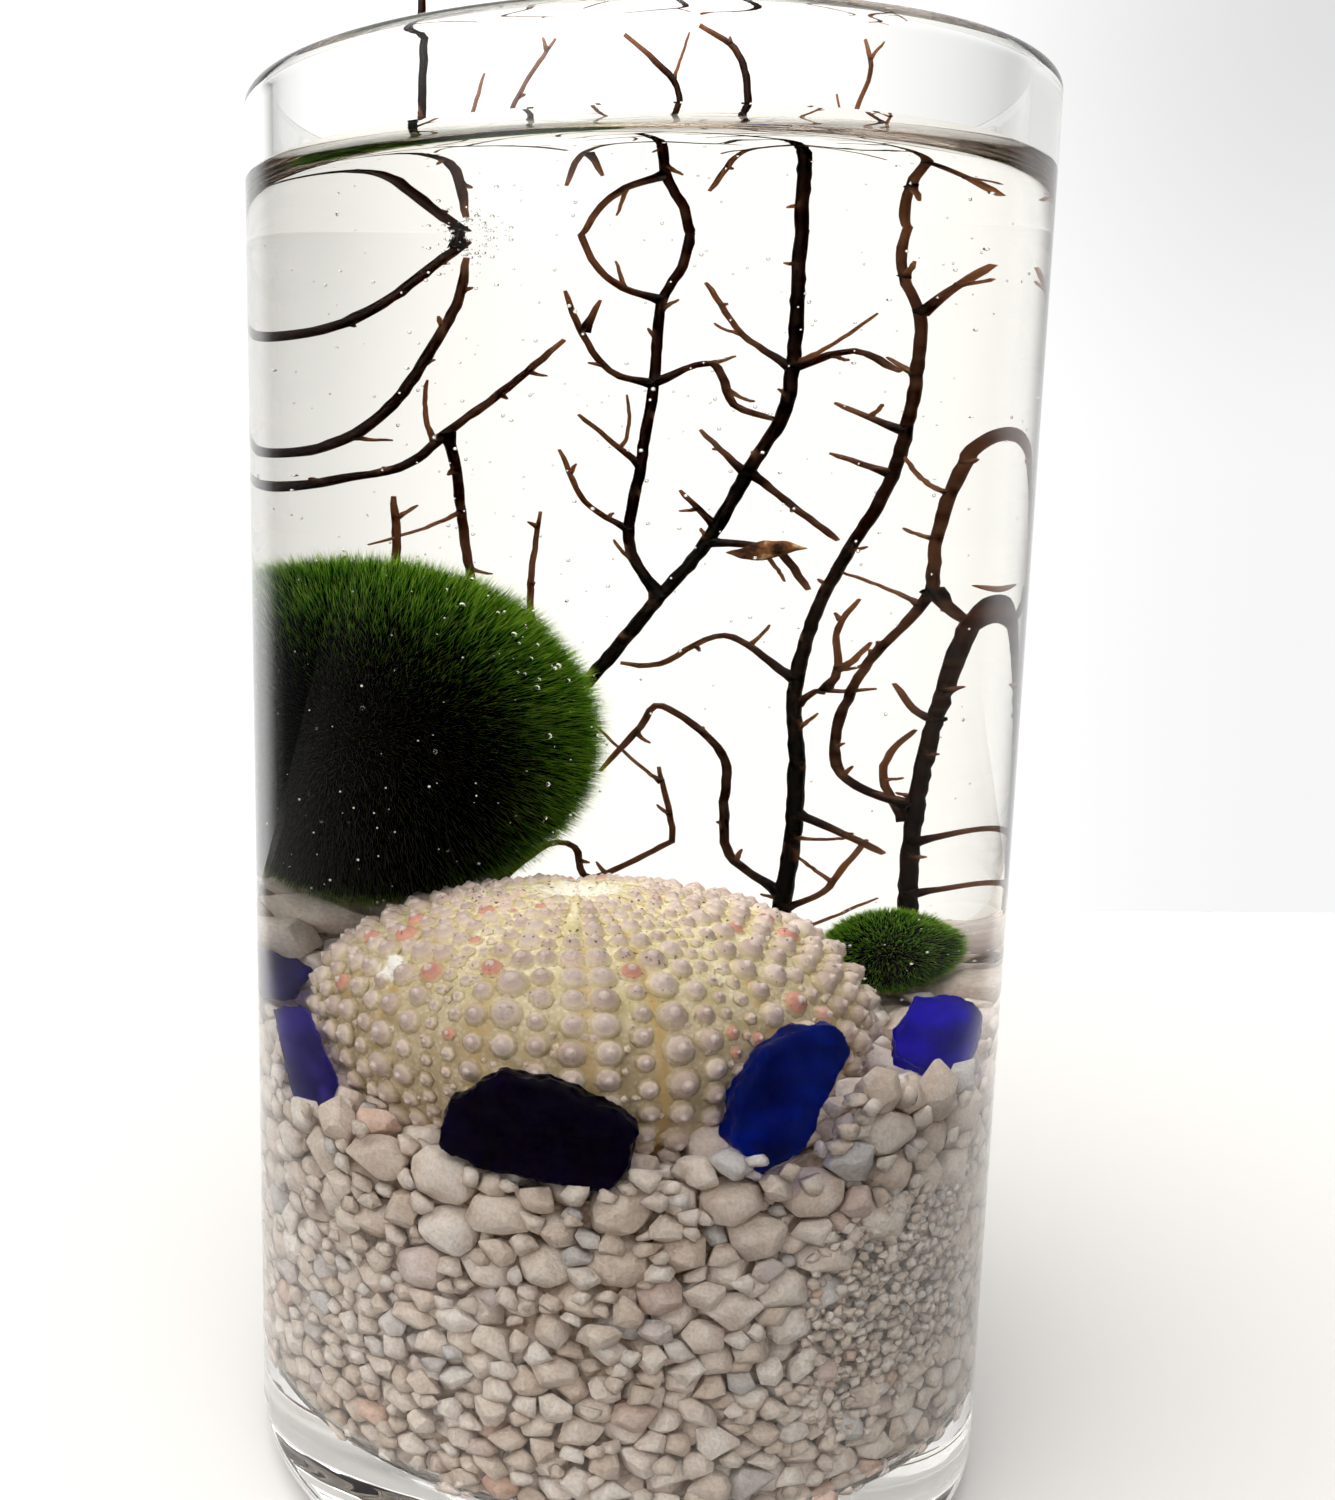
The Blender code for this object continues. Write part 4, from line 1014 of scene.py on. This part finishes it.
# Each branch is its width at the foot and at the tip, then its path up the back wall as
# (x, z), foot first. A node's first branch is its stem, and the others grow out of it.
SEA_FAN = {
    "sea_fan_root": (
        (2.2, 2.2, ((-9.5, ROOT_LEVEL), (-4.0, ROOT_LEVEL), (2.0, ROOT_LEVEL), (8.0, ROOT_LEVEL),
                    (13.5, ROOT_LEVEL), (18.0, ROOT_LEVEL), (22.5, ROOT_LEVEL))),
    ),
    "sea_fan_right_stem": (
        (1.25, 0.45, ((21.5, STEM_FOOT), (21.5, 61), (21.7, 70), (22.4, 80), (23.3, 88), (24.3, 96),
                    (26, 101.5), (28.2, 109), (29.2, 119), (28.8, 131), (29.2, 143), (30, 154))),
        (0.95, 0.75, ((21.8, 73.5), (18.4, 75.6), (16.8, 78), (16.9, 83.6), (18.8, 91), (21.2, 96.2),
                    (22.4, 100), (22.6, 106), (23.4, 113), (24.4, 117.4), (26.5, 120.5), (29, 121))),
        (0.9, 0.8, ((22.4, 100), (24.2, 96))),
        (0.8, 0.7, ((28.9, 141), (26.8, 149), (26.4, 156), (28, 161), (27.3, 165))),
        (0.8, 0.6, ((21.8, 69), (25.5, 71.5))),
        (0.75, 0.55, ((21.4, 71.6), (20, 76.6), (20.4, 80), (21.8, 83))),
        (0.7, 0.55, ((23.1, 84.2), (21.8, 85.2), (20.5, 88.6))),
        (0.8, 0.6, ((21.6, 62.5), (25.5, 64.5))),
    ),
    "sea_fan_middle_stem": (
        (1.65, 0.55, ((13.3, STEM_FOOT), (13, 60), (13.7, 68), (13.9, 78.5), (13.6, 87), (14.9, 96.5),
                    (17.2, 104.5), (19.6, 112.3), (20.8, 122), (20.9, 131.4), (19.6, 137),
                    (20, 143), (22.5, 150), (24.7, 156), (24.4, 159.5))),
        (1.0, 0.8, ((13, 61.5), (8.9, 66), (8.3, 72), (8, 79), (3, 84.7), (1.2, 82), (-2.1, 76.2))),
        (0.9, 0.8, ((13.8, 72), (17.5, 69.5), (20.1, 67.4))),
        (0.8, 0.6, ((13.1, 59.5), (16, 62), (17.3, 65), (19, 69))),
        (0.75, 0.55, ((13.8, 85.4), (15.2, 87.3), (17, 87.3), (19.3, 87.8))),
        (0.75, 0.55, ((15.9, 87.4), (16.7, 90), (16.6, 95), (18, 98.6))),
        (0.65, 0.55, ((16.7, 90), (17.8, 91.2), (18.9, 93.4))),
        (0.9, 0.8, ((13.7, 88.5), (8, 93.7), (2.7, 90), (-0.6, 90))),
        (0.8, 0.6, ((19.9, 113.5), (15.5, 116))),
        (0.8, 0.6, ((20.5, 118.5), (15.7, 121.8))),
        (0.8, 0.6, ((20.9, 132), (24.2, 137.3))),
    ),
    "sea_fan_centre_stem": (
        (1.6, 1.05, ((-12.2, 70.2), (-9.5, 76), (-5.5, 84), (-1.9, 90.2), (2.5, 98.3), (6.1, 104.8),
                    (9.5, 114), (12, 121.1), (12.6, 130.5), (12.6, 141), (13.8, 158), (12.4, 166),
                    (7.3, 170))),
        (1.25, 0.95, ((2.5, 98.3), (-0.1, 104.7), (0.6, 114), (1.6, 124.7), (2, 133.6), (3.8, 139),
                    (4.6, 150), (4.9, 161.5), (1.5, 166), (-2.5, 169.3))),
        (0.9, 0.7, ((2, 134), (-1.8, 136), (-4.5, 141.2), (-7.6, 157.8))),
        (0.9, 0.7, ((1.6, 124.1), (-2.1, 125.7), (-4.6, 130.7), (-5.8, 135.1))),
        (0.8, 0.6, ((-4.3, 130.3), (-3, 134))),
        (0.9, 0.9, ((1.6, 124.4), (6.2, 126.5), (8.1, 121.7), (11.6, 119.8))),
        (0.9, 0.8, ((12.5, 126), (16.8, 127.8), (19.9, 125.4))),
        (0.9, 0.8, ((9.4, 113.8), (13.5, 109), (16.4, 105.6))),
        (1.0, 0.8, ((6.3, 105.2), (11.7, 104.3), (14.4, 99.6))),
        (0.8, 0.6, ((9.3, 113.4), (5.4, 118.7))),
        (0.8, 0.6, ((7, 107), (3.9, 111.5))),
        (0.8, 0.6, ((12.3, 126), (8.5, 130), (5.5, 136))),
        (0.8, 0.6, ((0.6, 114.5), (-4.6, 120.5))),
        (0.8, 0.6, ((0, 106.4), (-3.9, 110), (-6.1, 116.3))),
        (0.9, 0.6, ((-5.5, 84), (-7.6, 92), (-8.3, 99), (-7.6, 108.7))),
    ),
    "sea_fan_left_stem": (
        (2.0, 1.2, ((-8.5, STEM_FOOT), (-9.5, 60), (-13.5, 69), (-18.5, 79), (-22, 87), (-25.2, 96),
                    (-28, 108), (-28.6, 124), (-28.2, 140), (-28, 155), (-27.6, 168), (-26.5, 178))),
        (0.9, 0.7, ((-10.4, 62), (-6.5, 66.5), (-4.1, 66.3), (-2.7, 62.4), (3.1, 66.7),
                    (4.1, 68.7), (2.8, 77))),
        (0.9, 0.7, ((-21.5, 86), (-19.4, 95), (-18.8, 103.2), (-19, 110.5))),
        (0.8, 0.6, ((-28.1, 143), (-24.5, 150), (-22.7, 156), (-20.5, 163.5))),
    ),
    "sea_fan_upper_left_branch": (
        (1.2, 1.0, ((-27.1, 128.6), (-22.7, 130.7), (-19.1, 134), (-16.3, 137.6), (-13.4, 140.8))),
        (1.0, 0.7, ((-14.2, 140), (-14.4, 148), (-17.3, 157), (-15.8, 162), (-11.6, 168.5))),
    ),
    "sea_fan_mid_left_branch": (
        (1.2, 0.9, ((-27, 114.9), (-23.3, 116.4), (-19.5, 120.7), (-16.3, 128), (-14.2, 134),
                    (-13.6, 138.9))),
    ),
    "sea_fan_lower_left_branch": (
        (1.2, 0.8, ((-26.8, 110.6), (-22.8, 112.4), (-18.1, 114.3), (-14.8, 118.6), (-11, 122.9),
                    (-5.8, 129.4))),
        (1.0, 0.7, ((-15.2, 118.2), (-14.4, 113.7), (-13.2, 100.8), (-11.6, 90), (-9.6, 79))),
    ),
}
FAN_REACH = (-29.3, 30.4)    # how far its twigs may go to either side, as in the model
PATH_STEP = 0.9              # the points of a branch are about this far apart
SPUR_EVERY = 8.5             # a short bare twig after about this many points
SPUR_STEP = 0.35
SPUR_LENGTHS = (0.6, 0.8, 1.0, 1.6, 2.6, 4.8)
FAN_SIDES = 1                # bevel resolution of its stems: six sides
WEB = 0.8                    # how much wider a branch is where it grows out of another
SPUR_WEB = 0.9
KNOBBLY = 0.14               # how deep the horn's small lumps are, of its radius
UNEVEN = 0.12                # how much a stem's width varies along it
BLUNT = (0.35, 0.1)          # it narrows by the first share over the last part of its length
WANDER = 0.05                # how far its points are off the smooth path
HORN_GLOW = 0.6              # the share of light that goes through it
THICK_HORN = 0.72            # a stem of this radius is near black,
THIN_HORN = 0.24             # and a twig of this radius is as pale as the horn gets
THINNER = 0.1                # the real horn is this much thinner than the model's stems


def on_wall(x, z):
    """A point of the fan: it stands on a cylinder just inside the back wall."""
    return Vector((x, sqrt(FAN_RADIUS ** 2 - x ** 2), z))


def smooth_path(path, step):
    """A smooth curve through the points (x, z) of a path, as points about a step apart."""
    points = [Vector(point) for point in path]
    points = [2 * points[0] - points[1]] + points + [2 * points[-1] - points[-2]]
    run = []
    for a, b, c, d in zip(points, points[1:], points[2:], points[3:]):
        count = max(1, round((c - b).length / step))
        for i in range(count):
            t = i / count
            run.append(0.5 * (2 * b + (c - a) * t + (2 * a - 5 * b + 4 * c - d) * t ** 2
                              + (3 * b - a - 3 * c + d) * t ** 3))
    return run + [points[-2]]


def add_branch(curve, rng, run, foot, tip, flare):
    """A knobbly, tapering stem, widened to a web where it grows out of another."""
    spline = curve.splines.new("POLY")
    spline.points.add(len(run) - 1)
    for index, (point, (x, z)) in enumerate(zip(spline.points, run)):
        share = index / (len(run) - 1)
        wide = (foot + (tip - foot) * share - THINNER) * (1.0 + flare * exp(-index / 1.3))
        wide *= 1.0 + UNEVEN * noise.noise(Vector((x, 0.0, z)) * 0.9)
        wide *= 1.0 - BLUNT[0] * smooth_step((share - 1.0 + BLUNT[1]) / BLUNT[1])
        spot = on_wall(x + rng.uniform(-WANDER, WANDER), z + rng.uniform(-WANDER, WANDER))
        point.co = (*spot, 1.0)
        point.radius = wide / 2


def add_spurs(curve, rng, run, width):
    """Short twigs along a branch, pointing out and up to either side."""
    index = rng.randrange(3, 7)
    while index < len(run) - 2:
        way = (run[index + 1] - run[index - 1]).normalized()
        side = rng.choice((-1.0, 1.0))
        out = Vector((-way.y, way.x)) * side * rng.uniform(0.6, 1.0) + way * rng.uniform(-0.1, 0.9)
        length = rng.choice(SPUR_LENGTHS)
        bend = Vector((rng.uniform(-0.7, 0.7), rng.uniform(-0.2, 0.9)))
        steps = round(length / SPUR_STEP)
        twig = [run[index] + out * length * i / steps + bend * (length * i / steps) ** 2 * 0.18
                for i in range(steps + 1)]
        if all(FAN_REACH[0] < x < FAN_REACH[1] for x, _ in twig):
            add_branch(curve, rng, twig, min(0.62, width * 0.5 + 0.1), 0.42, SPUR_WEB)
        index += max(2, round(rng.uniform(0.4, 1.6) * SPUR_EVERY))


def dry_horn():
    """Gorgonin, the fan's horny skeleton, dried: near black where it is thick, with a satin skin,
    and red-brown to amber where it is thin enough for light to come through."""
    made, tree, shader = new_material("dried gorgonin horn", Roughness=0.5, Specular_IOR_Level=0.2)
    spot = add_node(tree, "ShaderNodeTexCoord").outputs["Object"]
    thin = add_node(tree, "ShaderNodeAttribute", attribute_name="thin").outputs["Fac"]
    cloud = add_node(tree, "ShaderNodeTexNoise", {"Vector": spot, "Scale": 0.25 * PER_MM, "Detail": 3.0})
    thin = add_node(tree, "ShaderNodeMath", {0: thin, 1: 0.75}, operation="MULTIPLY").outputs[0]
    shifted = add_node(tree, "ShaderNodeMath", {
        0: cloud.outputs["Fac"], 1: 0.5, 2: thin}, operation="MULTIPLY_ADD").outputs[0]
    horn = add_node(tree, "ShaderNodeValToRGB", {"Fac": shifted}, stops=(
        (0.35, "#0C0807"), (0.7, "#2E1B13"), (1.0, "#745039"))).outputs["Color"]
    glow = add_node(tree, "ShaderNodeValToRGB", {"Fac": shifted}, stops=(
        (0.35, "#26110A"), (0.65, "#6E412C"), (1.0, "#D8AC88"))).outputs["Color"]
    ridges = add_node(tree, "ShaderNodeTexNoise", {"Vector": spot, "Scale": 2.2 * PER_MM, "Detail": 2.0})
    bump = add_node(tree, "ShaderNodeBump", {
        "Height": ridges.outputs["Fac"], "Strength": 0.6, "Distance": 0.12 * MM})
    feed(tree, shader, {"Base Color": horn, "Normal": bump.outputs["Normal"]})
    through = add_node(tree, "ShaderNodeBsdfTranslucent", {"Color": glow})
    mixed = add_node(tree, "ShaderNodeMixShader", {
        0: HORN_GLOW, 1: shader.outputs[0], 2: through.outputs[0]})
    feed(tree, tree.nodes["Material Output"], {"Surface": mixed.outputs[0]})
    return made


def make_sea_fan():
    """Each node of the fan as one curve with its twigs, made a mesh and roughened."""
    rng = Random(41)
    finish = dry_horn()
    for name, branches in SEA_FAN.items():
        curve = bpy.data.curves.new(name, "CURVE")
        curve.dimensions = "3D"
        curve.bevel_depth = 1.0
        curve.bevel_resolution = FAN_SIDES
        curve.use_fill_caps = True
        for number, (foot, tip, path) in enumerate(branches):
            run = smooth_path(path, PATH_STEP)
            add_branch(curve, rng, run, foot, tip, WEB if number else 0.0)
            if name != "sea_fan_root":
                add_spurs(curve, rng, run, foot)
        points = [(point.co.xyz, point.radius) for spline in curve.splines for point in spline.points]
        bm = to_bmesh(shaped(add_object(name, curve)))
        lines = kdtree.KDTree(len(points))
        for index, (spot, _) in enumerate(points):
            lines.insert(spot, index)
        lines.balance()
        thin = []
        for vertex in bm.verts:
            size = points[lines.find(vertex.co)[1]][1]
            thin.append(held_in((THICK_HORN - size) / (THICK_HORN - THIN_HORN)))
            vertex.co += vertex.normal * KNOBBLY * size * noise.noise(vertex.co * 1.6)
        bmesh.ops.recalc_face_normals(bm, faces=bm.faces)
        mark(add_piece(name + "_branch", bm, finish, [name]), "thin", thin)


# ---------------------------------------------------------------- small things

FREE_BUBBLES = 330           # bubbles in the water, more of them high up,
FREE_LEVEL = 76.0            # and none lower than this
BALL_BUBBLES = 26            # on the large ball's front
FORK_BUBBLES = 90            # caught in a fork of the fan
FORK = (-13.6, 140.0)
FORK_SPREAD = 1.6
LIME_SPECKS = 330            # on the balls, six on the large one for each on the small one
LEAF_PLACE = (11.0, 104.3)


def make_bubbles():
    """Air bubbles no bigger than a pinhead, and specks of lime on the moss."""
    rng = Random(51)
    middle, swell = Vector(BALL_LARGE[0]), BALL_LARGE[1]
    spots = []
    for _ in range(FREE_BUBBLES):
        turn, reach = rng.uniform(0.0, 2 * pi), (INNER_RADIUS - 0.5) * sqrt(rng.random())
        high = FREE_LEVEL + (WATER_LEVEL - FREE_LEVEL - 2.0) * rng.random() ** 0.6
        spot = Vector((reach * sin(turn), reach * cos(turn), high))
        if (spot - middle).length > swell + 1.0:
            spots.append((spot, rng.choice((0.1, 0.12, 0.15, 0.19))))
    for _ in range(BALL_BUBBLES):
        way = Vector((rng.uniform(-0.3, 1.0), rng.uniform(-1.0, -0.2), rng.uniform(-0.5, 0.9)))
        spots.append((middle + way.normalized() * (swell + 0.1), rng.choice((0.12, 0.2, 0.32))))
    for _ in range(FORK_BUBBLES):
        spot = on_wall(*FORK) + Vector([rng.gauss(0.0, FORK_SPREAD) for _ in range(3)])
        spot.z = min(spot.z, WATER_LEVEL - 0.2)
        if hypot(spot.x, spot.y) < INNER_RADIUS - 0.3:
            spots.append((spot, rng.choice((0.1, 0.14, 0.2))))
    bubbles = bmesh.new()
    for spot, radius in spots:
        bmesh.ops.create_icosphere(bubbles, subdivisions=1 if radius < 0.19 else 2, radius=radius,
                                   matrix=Matrix.Translation(spot))
    add_piece("air_bubbles", bubbles, clear_finish("air in water", "#FFFFFF", 1.0 / WATER_IOR))
    specks = bmesh.new()
    for _ in range(LIME_SPECKS):
        ball = rng.choice((BALL_LARGE,) * 6 + (BALL_SMALL,))
        way = Vector([rng.gauss(0.0, 1.0) for _ in range(3)]).normalized()
        spot = Vector(ball[0]) + way * (ball[1] + rng.uniform(0.1, 0.9))
        if hypot(spot.x, spot.y) < PRESSED:
            bmesh.ops.create_icosphere(specks, subdivisions=1, matrix=Matrix.Translation(spot),
                                       radius=rng.choice((0.05, 0.07, 0.1, 0.15)))
    finish = new_material("lime dust", Base_Color=linear("#F4F2EA"), Roughness=0.9)[0]
    add_piece("lime_dust", specks, finish)


def make_leaf_scrap():
    """A scrap of brown leaf that hangs in the fan: a thin spindle with drawn-out ends."""
    finish, tree, shader = new_material("dead leaf", Roughness=0.8, Specular_IOR_Level=0.1)
    spot = add_node(tree, "ShaderNodeTexCoord").outputs["Object"]
    cloud = add_node(tree, "ShaderNodeTexNoise", {"Vector": spot, "Scale": 0.9 * PER_MM, "Detail": 3.0})
    tone = add_node(tree, "ShaderNodeValToRGB", {"Fac": cloud.outputs["Fac"]}, stops=(
        (0.35, "#2C1A10"), (0.55, "#7A4E2C"), (0.7, "#C9A67C"))).outputs["Color"]
    feed(tree, shader, {"Base Color": tone})
    bm = bmesh.new()
    bmesh.ops.create_icosphere(bm, subdivisions=4, radius=1.0)
    for vertex in bm.verts:
        x, y, z = vertex.co
        narrow = (1.0 - abs(x)) ** 0.45 if abs(x) < 1.0 else 0.0
        ruffle = 0.3 * noise.noise(vertex.co * 2.2)
        vertex.co = Vector((3.2 * x, 0.35 * y, (1.15 * narrow + ruffle) * z + 0.35 * sin(2.2 * x)))
    bmesh.ops.translate(bm, vec=on_wall(*LEAF_PLACE) + Vector((0.0, -0.9, 0.0)), verts=bm.verts)
    add_piece("leaf_scrap", bm, finish)


# ---------------------------------------------------------------- studio

CAMERA_PLACE = Vector((0.0, -177.9, 112.6))
CAMERA_TURN = 6.20           # to its left, downwards and rolled, in degrees
CAMERA_DROP = 9.87
CAMERA_ROLL = 0.38
CAMERA_LENS = 37.36
CAMERA_SHIFT = 0.139         # the photo is cropped: its centre is right of the lens's axis
TABLE_BACK = 226.0           # the table's back edge is this far behind the vase's axis
TABLE_SIZE = (5.0, 3.0, 0.02)        # in metres
TABLE_GAP = 0.00005          # it lies a hair below the vase, in metres
# A pool of light is painted on the table: pale round the vase, widening to the back, and grey beyond it, in
# metres.
LIT_POOL_MIDDLE = 0.008
LIT_POOL_SPREAD = 0.42           # how much wider on each side for each metre further back
LIT_POOL_EDGE = (0.1, 0.15)      # its half width beside the vase, and where the table is all grey
LIT_POOL_FRONT = (-0.05, -0.11)  # the same for its front end
ROOM_BACK = 1.2              # how bright the room is: the wall behind the vase,
ROOM_DIM = 0.1               # in front of it and to its sides,
ROOM_CEILING = 1.0           # above it,
SOFT_BOX = 7.0               # and the large soft lamp above its front
BACK_WAY = Vector((0.12, 1.0, 0.0)).normalized()
BACK_EDGE = (0.45, 0.68)     # where the wall behind sets in, as cosines of the angle to that way
BACK_TOP = (0.45, 0.7)       # how high up it fades, as heights on a ball of radius 1
CORNER_EDGE = (0.02, 0.38)   # the wall is darker to the right, from the first to the second place
CORNER_LEVEL = (0.0, 0.26)   # and so more from the table up to this height,
CORNER_SHADE = (0.22, 0.38)  # by these shares
CEILING_EDGE = (0.2, 0.6)
SOFT_BOX_WAY = Vector((-0.3, -0.45, 0.85)).normalized()
SOFT_BOX_EDGE = (0.6, 0.85)
BLACK_LEVEL = 0.007          # the photo's darkest parts are fully black


def make_camera():
    """The camera of the photo."""
    data = bpy.data.cameras.new("camera")
    data.lens = CAMERA_LENS
    data.sensor_width = 36.0
    data.shift_x = CAMERA_SHIFT
    data.clip_start = 0.005
    camera = add_object("camera", data)
    camera.matrix_world = (Matrix.Translation(CAMERA_PLACE * MM)
                           @ Matrix.Rotation(radians(CAMERA_TURN), 4, "Z")
                           @ Matrix.Rotation(radians(90.0 - CAMERA_DROP), 4, "X")
                           @ Matrix.Rotation(radians(CAMERA_ROLL), 4, "Z"))
    bpy.context.scene.camera = camera


def make_stage():
    """A long pale table, whose back edge is the horizon behind the vase. A pool of light round the vase is
    painted on it:
    the table is greyer outside the pool and in front, so that the glass doesn't mirror a bright floor over
    the dark moss."""
    finish, tree, shader = new_material("table with a painted pool of light", Roughness=1.0, Specular_IOR_Level=0.0)
    spot = add_node(tree, "ShaderNodeTexCoord").outputs["Object"]
    axes = add_node(tree, "ShaderNodeSeparateXYZ", {"Vector": spot})
    along = axes.outputs["Y"]
    out = add_node(tree, "ShaderNodeMath", {0: axes.outputs["X"], 1: LIT_POOL_MIDDLE}, operation="SUBTRACT")
    out = add_node(tree, "ShaderNodeMath", {0: out.outputs[0]}, operation="ABSOLUTE")
    out = add_node(tree, "ShaderNodeMath", {
        0: along, 1: -LIT_POOL_SPREAD, 2: out.outputs[0]}, operation="MULTIPLY_ADD").outputs[0]
    front, around = [add_node(tree, "ShaderNodeMapRange", {
        "Value": value, "From Min": edge[0], "From Max": edge[1]},
        interpolation_type="SMOOTHSTEP").outputs["Result"]
        for value, edge in ((along, LIT_POOL_FRONT), (out, LIT_POOL_EDGE))]
    # painted light: pale in the pool round the vase, darker grey outside it and in front
    grey = add_node(tree, "ShaderNodeMath", {0: front, 1: around}, operation="MAXIMUM").outputs[0]
    tone = add_node(tree, "ShaderNodeValToRGB", {"Fac": grey}, stops=((0.0, "#A09E9B"), (1.0, "#454442")))
    feed(tree, shader, {"Base Color": tone.outputs["Color"]})
    bm = bmesh.new()
    bmesh.ops.create_cube(bm, size=1.0)
    bmesh.ops.scale(bm, vec=TABLE_SIZE, verts=bm.verts)
    place = (0.0, TABLE_BACK * MM - TABLE_SIZE[1] / 2, -TABLE_SIZE[2] / 2 - TABLE_GAP)
    bmesh.ops.translate(bm, vec=place, verts=bm.verts)
    bmesh.ops.rotate(bm, cent=(0, 0, 0), matrix=Matrix.Rotation(radians(CAMERA_TURN), 3, "Z"),
                     verts=bm.verts)
    table = add_object("table", to_mesh("table", bm))
    table.data.materials.append(finish)


def make_light():
    """A white room lit from behind and above, and dim on the camera's side."""
    scene = bpy.context.scene
    world = bpy.data.worlds.new("studio")
    scene.world = world
    world.use_nodes = True
    tree = world.node_tree
    way = add_node(tree, "ShaderNodeTexCoord").outputs["Generated"]
    axes = add_node(tree, "ShaderNodeSeparateXYZ", {"Vector": way})
    right, up = axes.outputs["X"], axes.outputs["Z"]
    back, lamp = [add_node(tree, "ShaderNodeVectorMath", {
        0: way, 1: towards}, operation="DOT_PRODUCT").outputs["Value"]
        for towards in (BACK_WAY, SOFT_BOX_WAY)]
    behind, below, corner, shade, ceiling, lamp = [add_node(tree, "ShaderNodeMapRange", {
        "Value": value, "From Min": edge[0], "From Max": edge[1], "To Min": first, "To Max": last},
        interpolation_type="SMOOTHSTEP").outputs["Result"]
        for value, edge, first, last in (
            (back, BACK_EDGE, 0.0, ROOM_BACK), (up, BACK_TOP, 1.0, 0.0), (right, CORNER_EDGE, 0.0, 1.0),
            (up, CORNER_LEVEL, *CORNER_SHADE), (up, CEILING_EDGE, ROOM_DIM, ROOM_CEILING),
            (lamp, SOFT_BOX_EDGE, 0.0, SOFT_BOX))]
    shaded = add_node(tree, "ShaderNodeMath", {0: corner, 1: shade}, operation="MULTIPLY").outputs[0]
    lit = add_node(tree, "ShaderNodeMath", {0: 1.0, 1: shaded}, operation="SUBTRACT").outputs[0]
    strength = behind
    for operation, value in (("MULTIPLY", below), ("MULTIPLY", lit), ("MAXIMUM", ceiling),
                             ("MAXIMUM", lamp)):
        strength = add_node(tree, "ShaderNodeMath", {
            0: strength, 1: value}, operation=operation).outputs[0]
    feed(tree, tree.nodes["Background"], {"Color": linear("#FFFFFF"), "Strength": strength})
    scene.view_settings.view_transform = "Standard"
    scene.view_settings.use_curve_mapping = True
    scene.view_settings.curve_mapping.black_level = [BLACK_LEVEL] * 3
    scene.view_settings.curve_mapping.update()
    # Light passes many faces of clear glass and water, and many pale chips, before it is lost.
    scene.cycles.max_bounces = 32
    scene.cycles.transmission_bounces = 32
    scene.cycles.glossy_bounces = 8
    scene.cycles.diffuse_bounces = 10


make_camera()
make_stage()
make_light()
make_vase()
make_water()
make_gravel()
make_moss()
make_shell()
make_sea_glass()
make_sea_fan()
make_bubbles()
make_leaf_scrap()
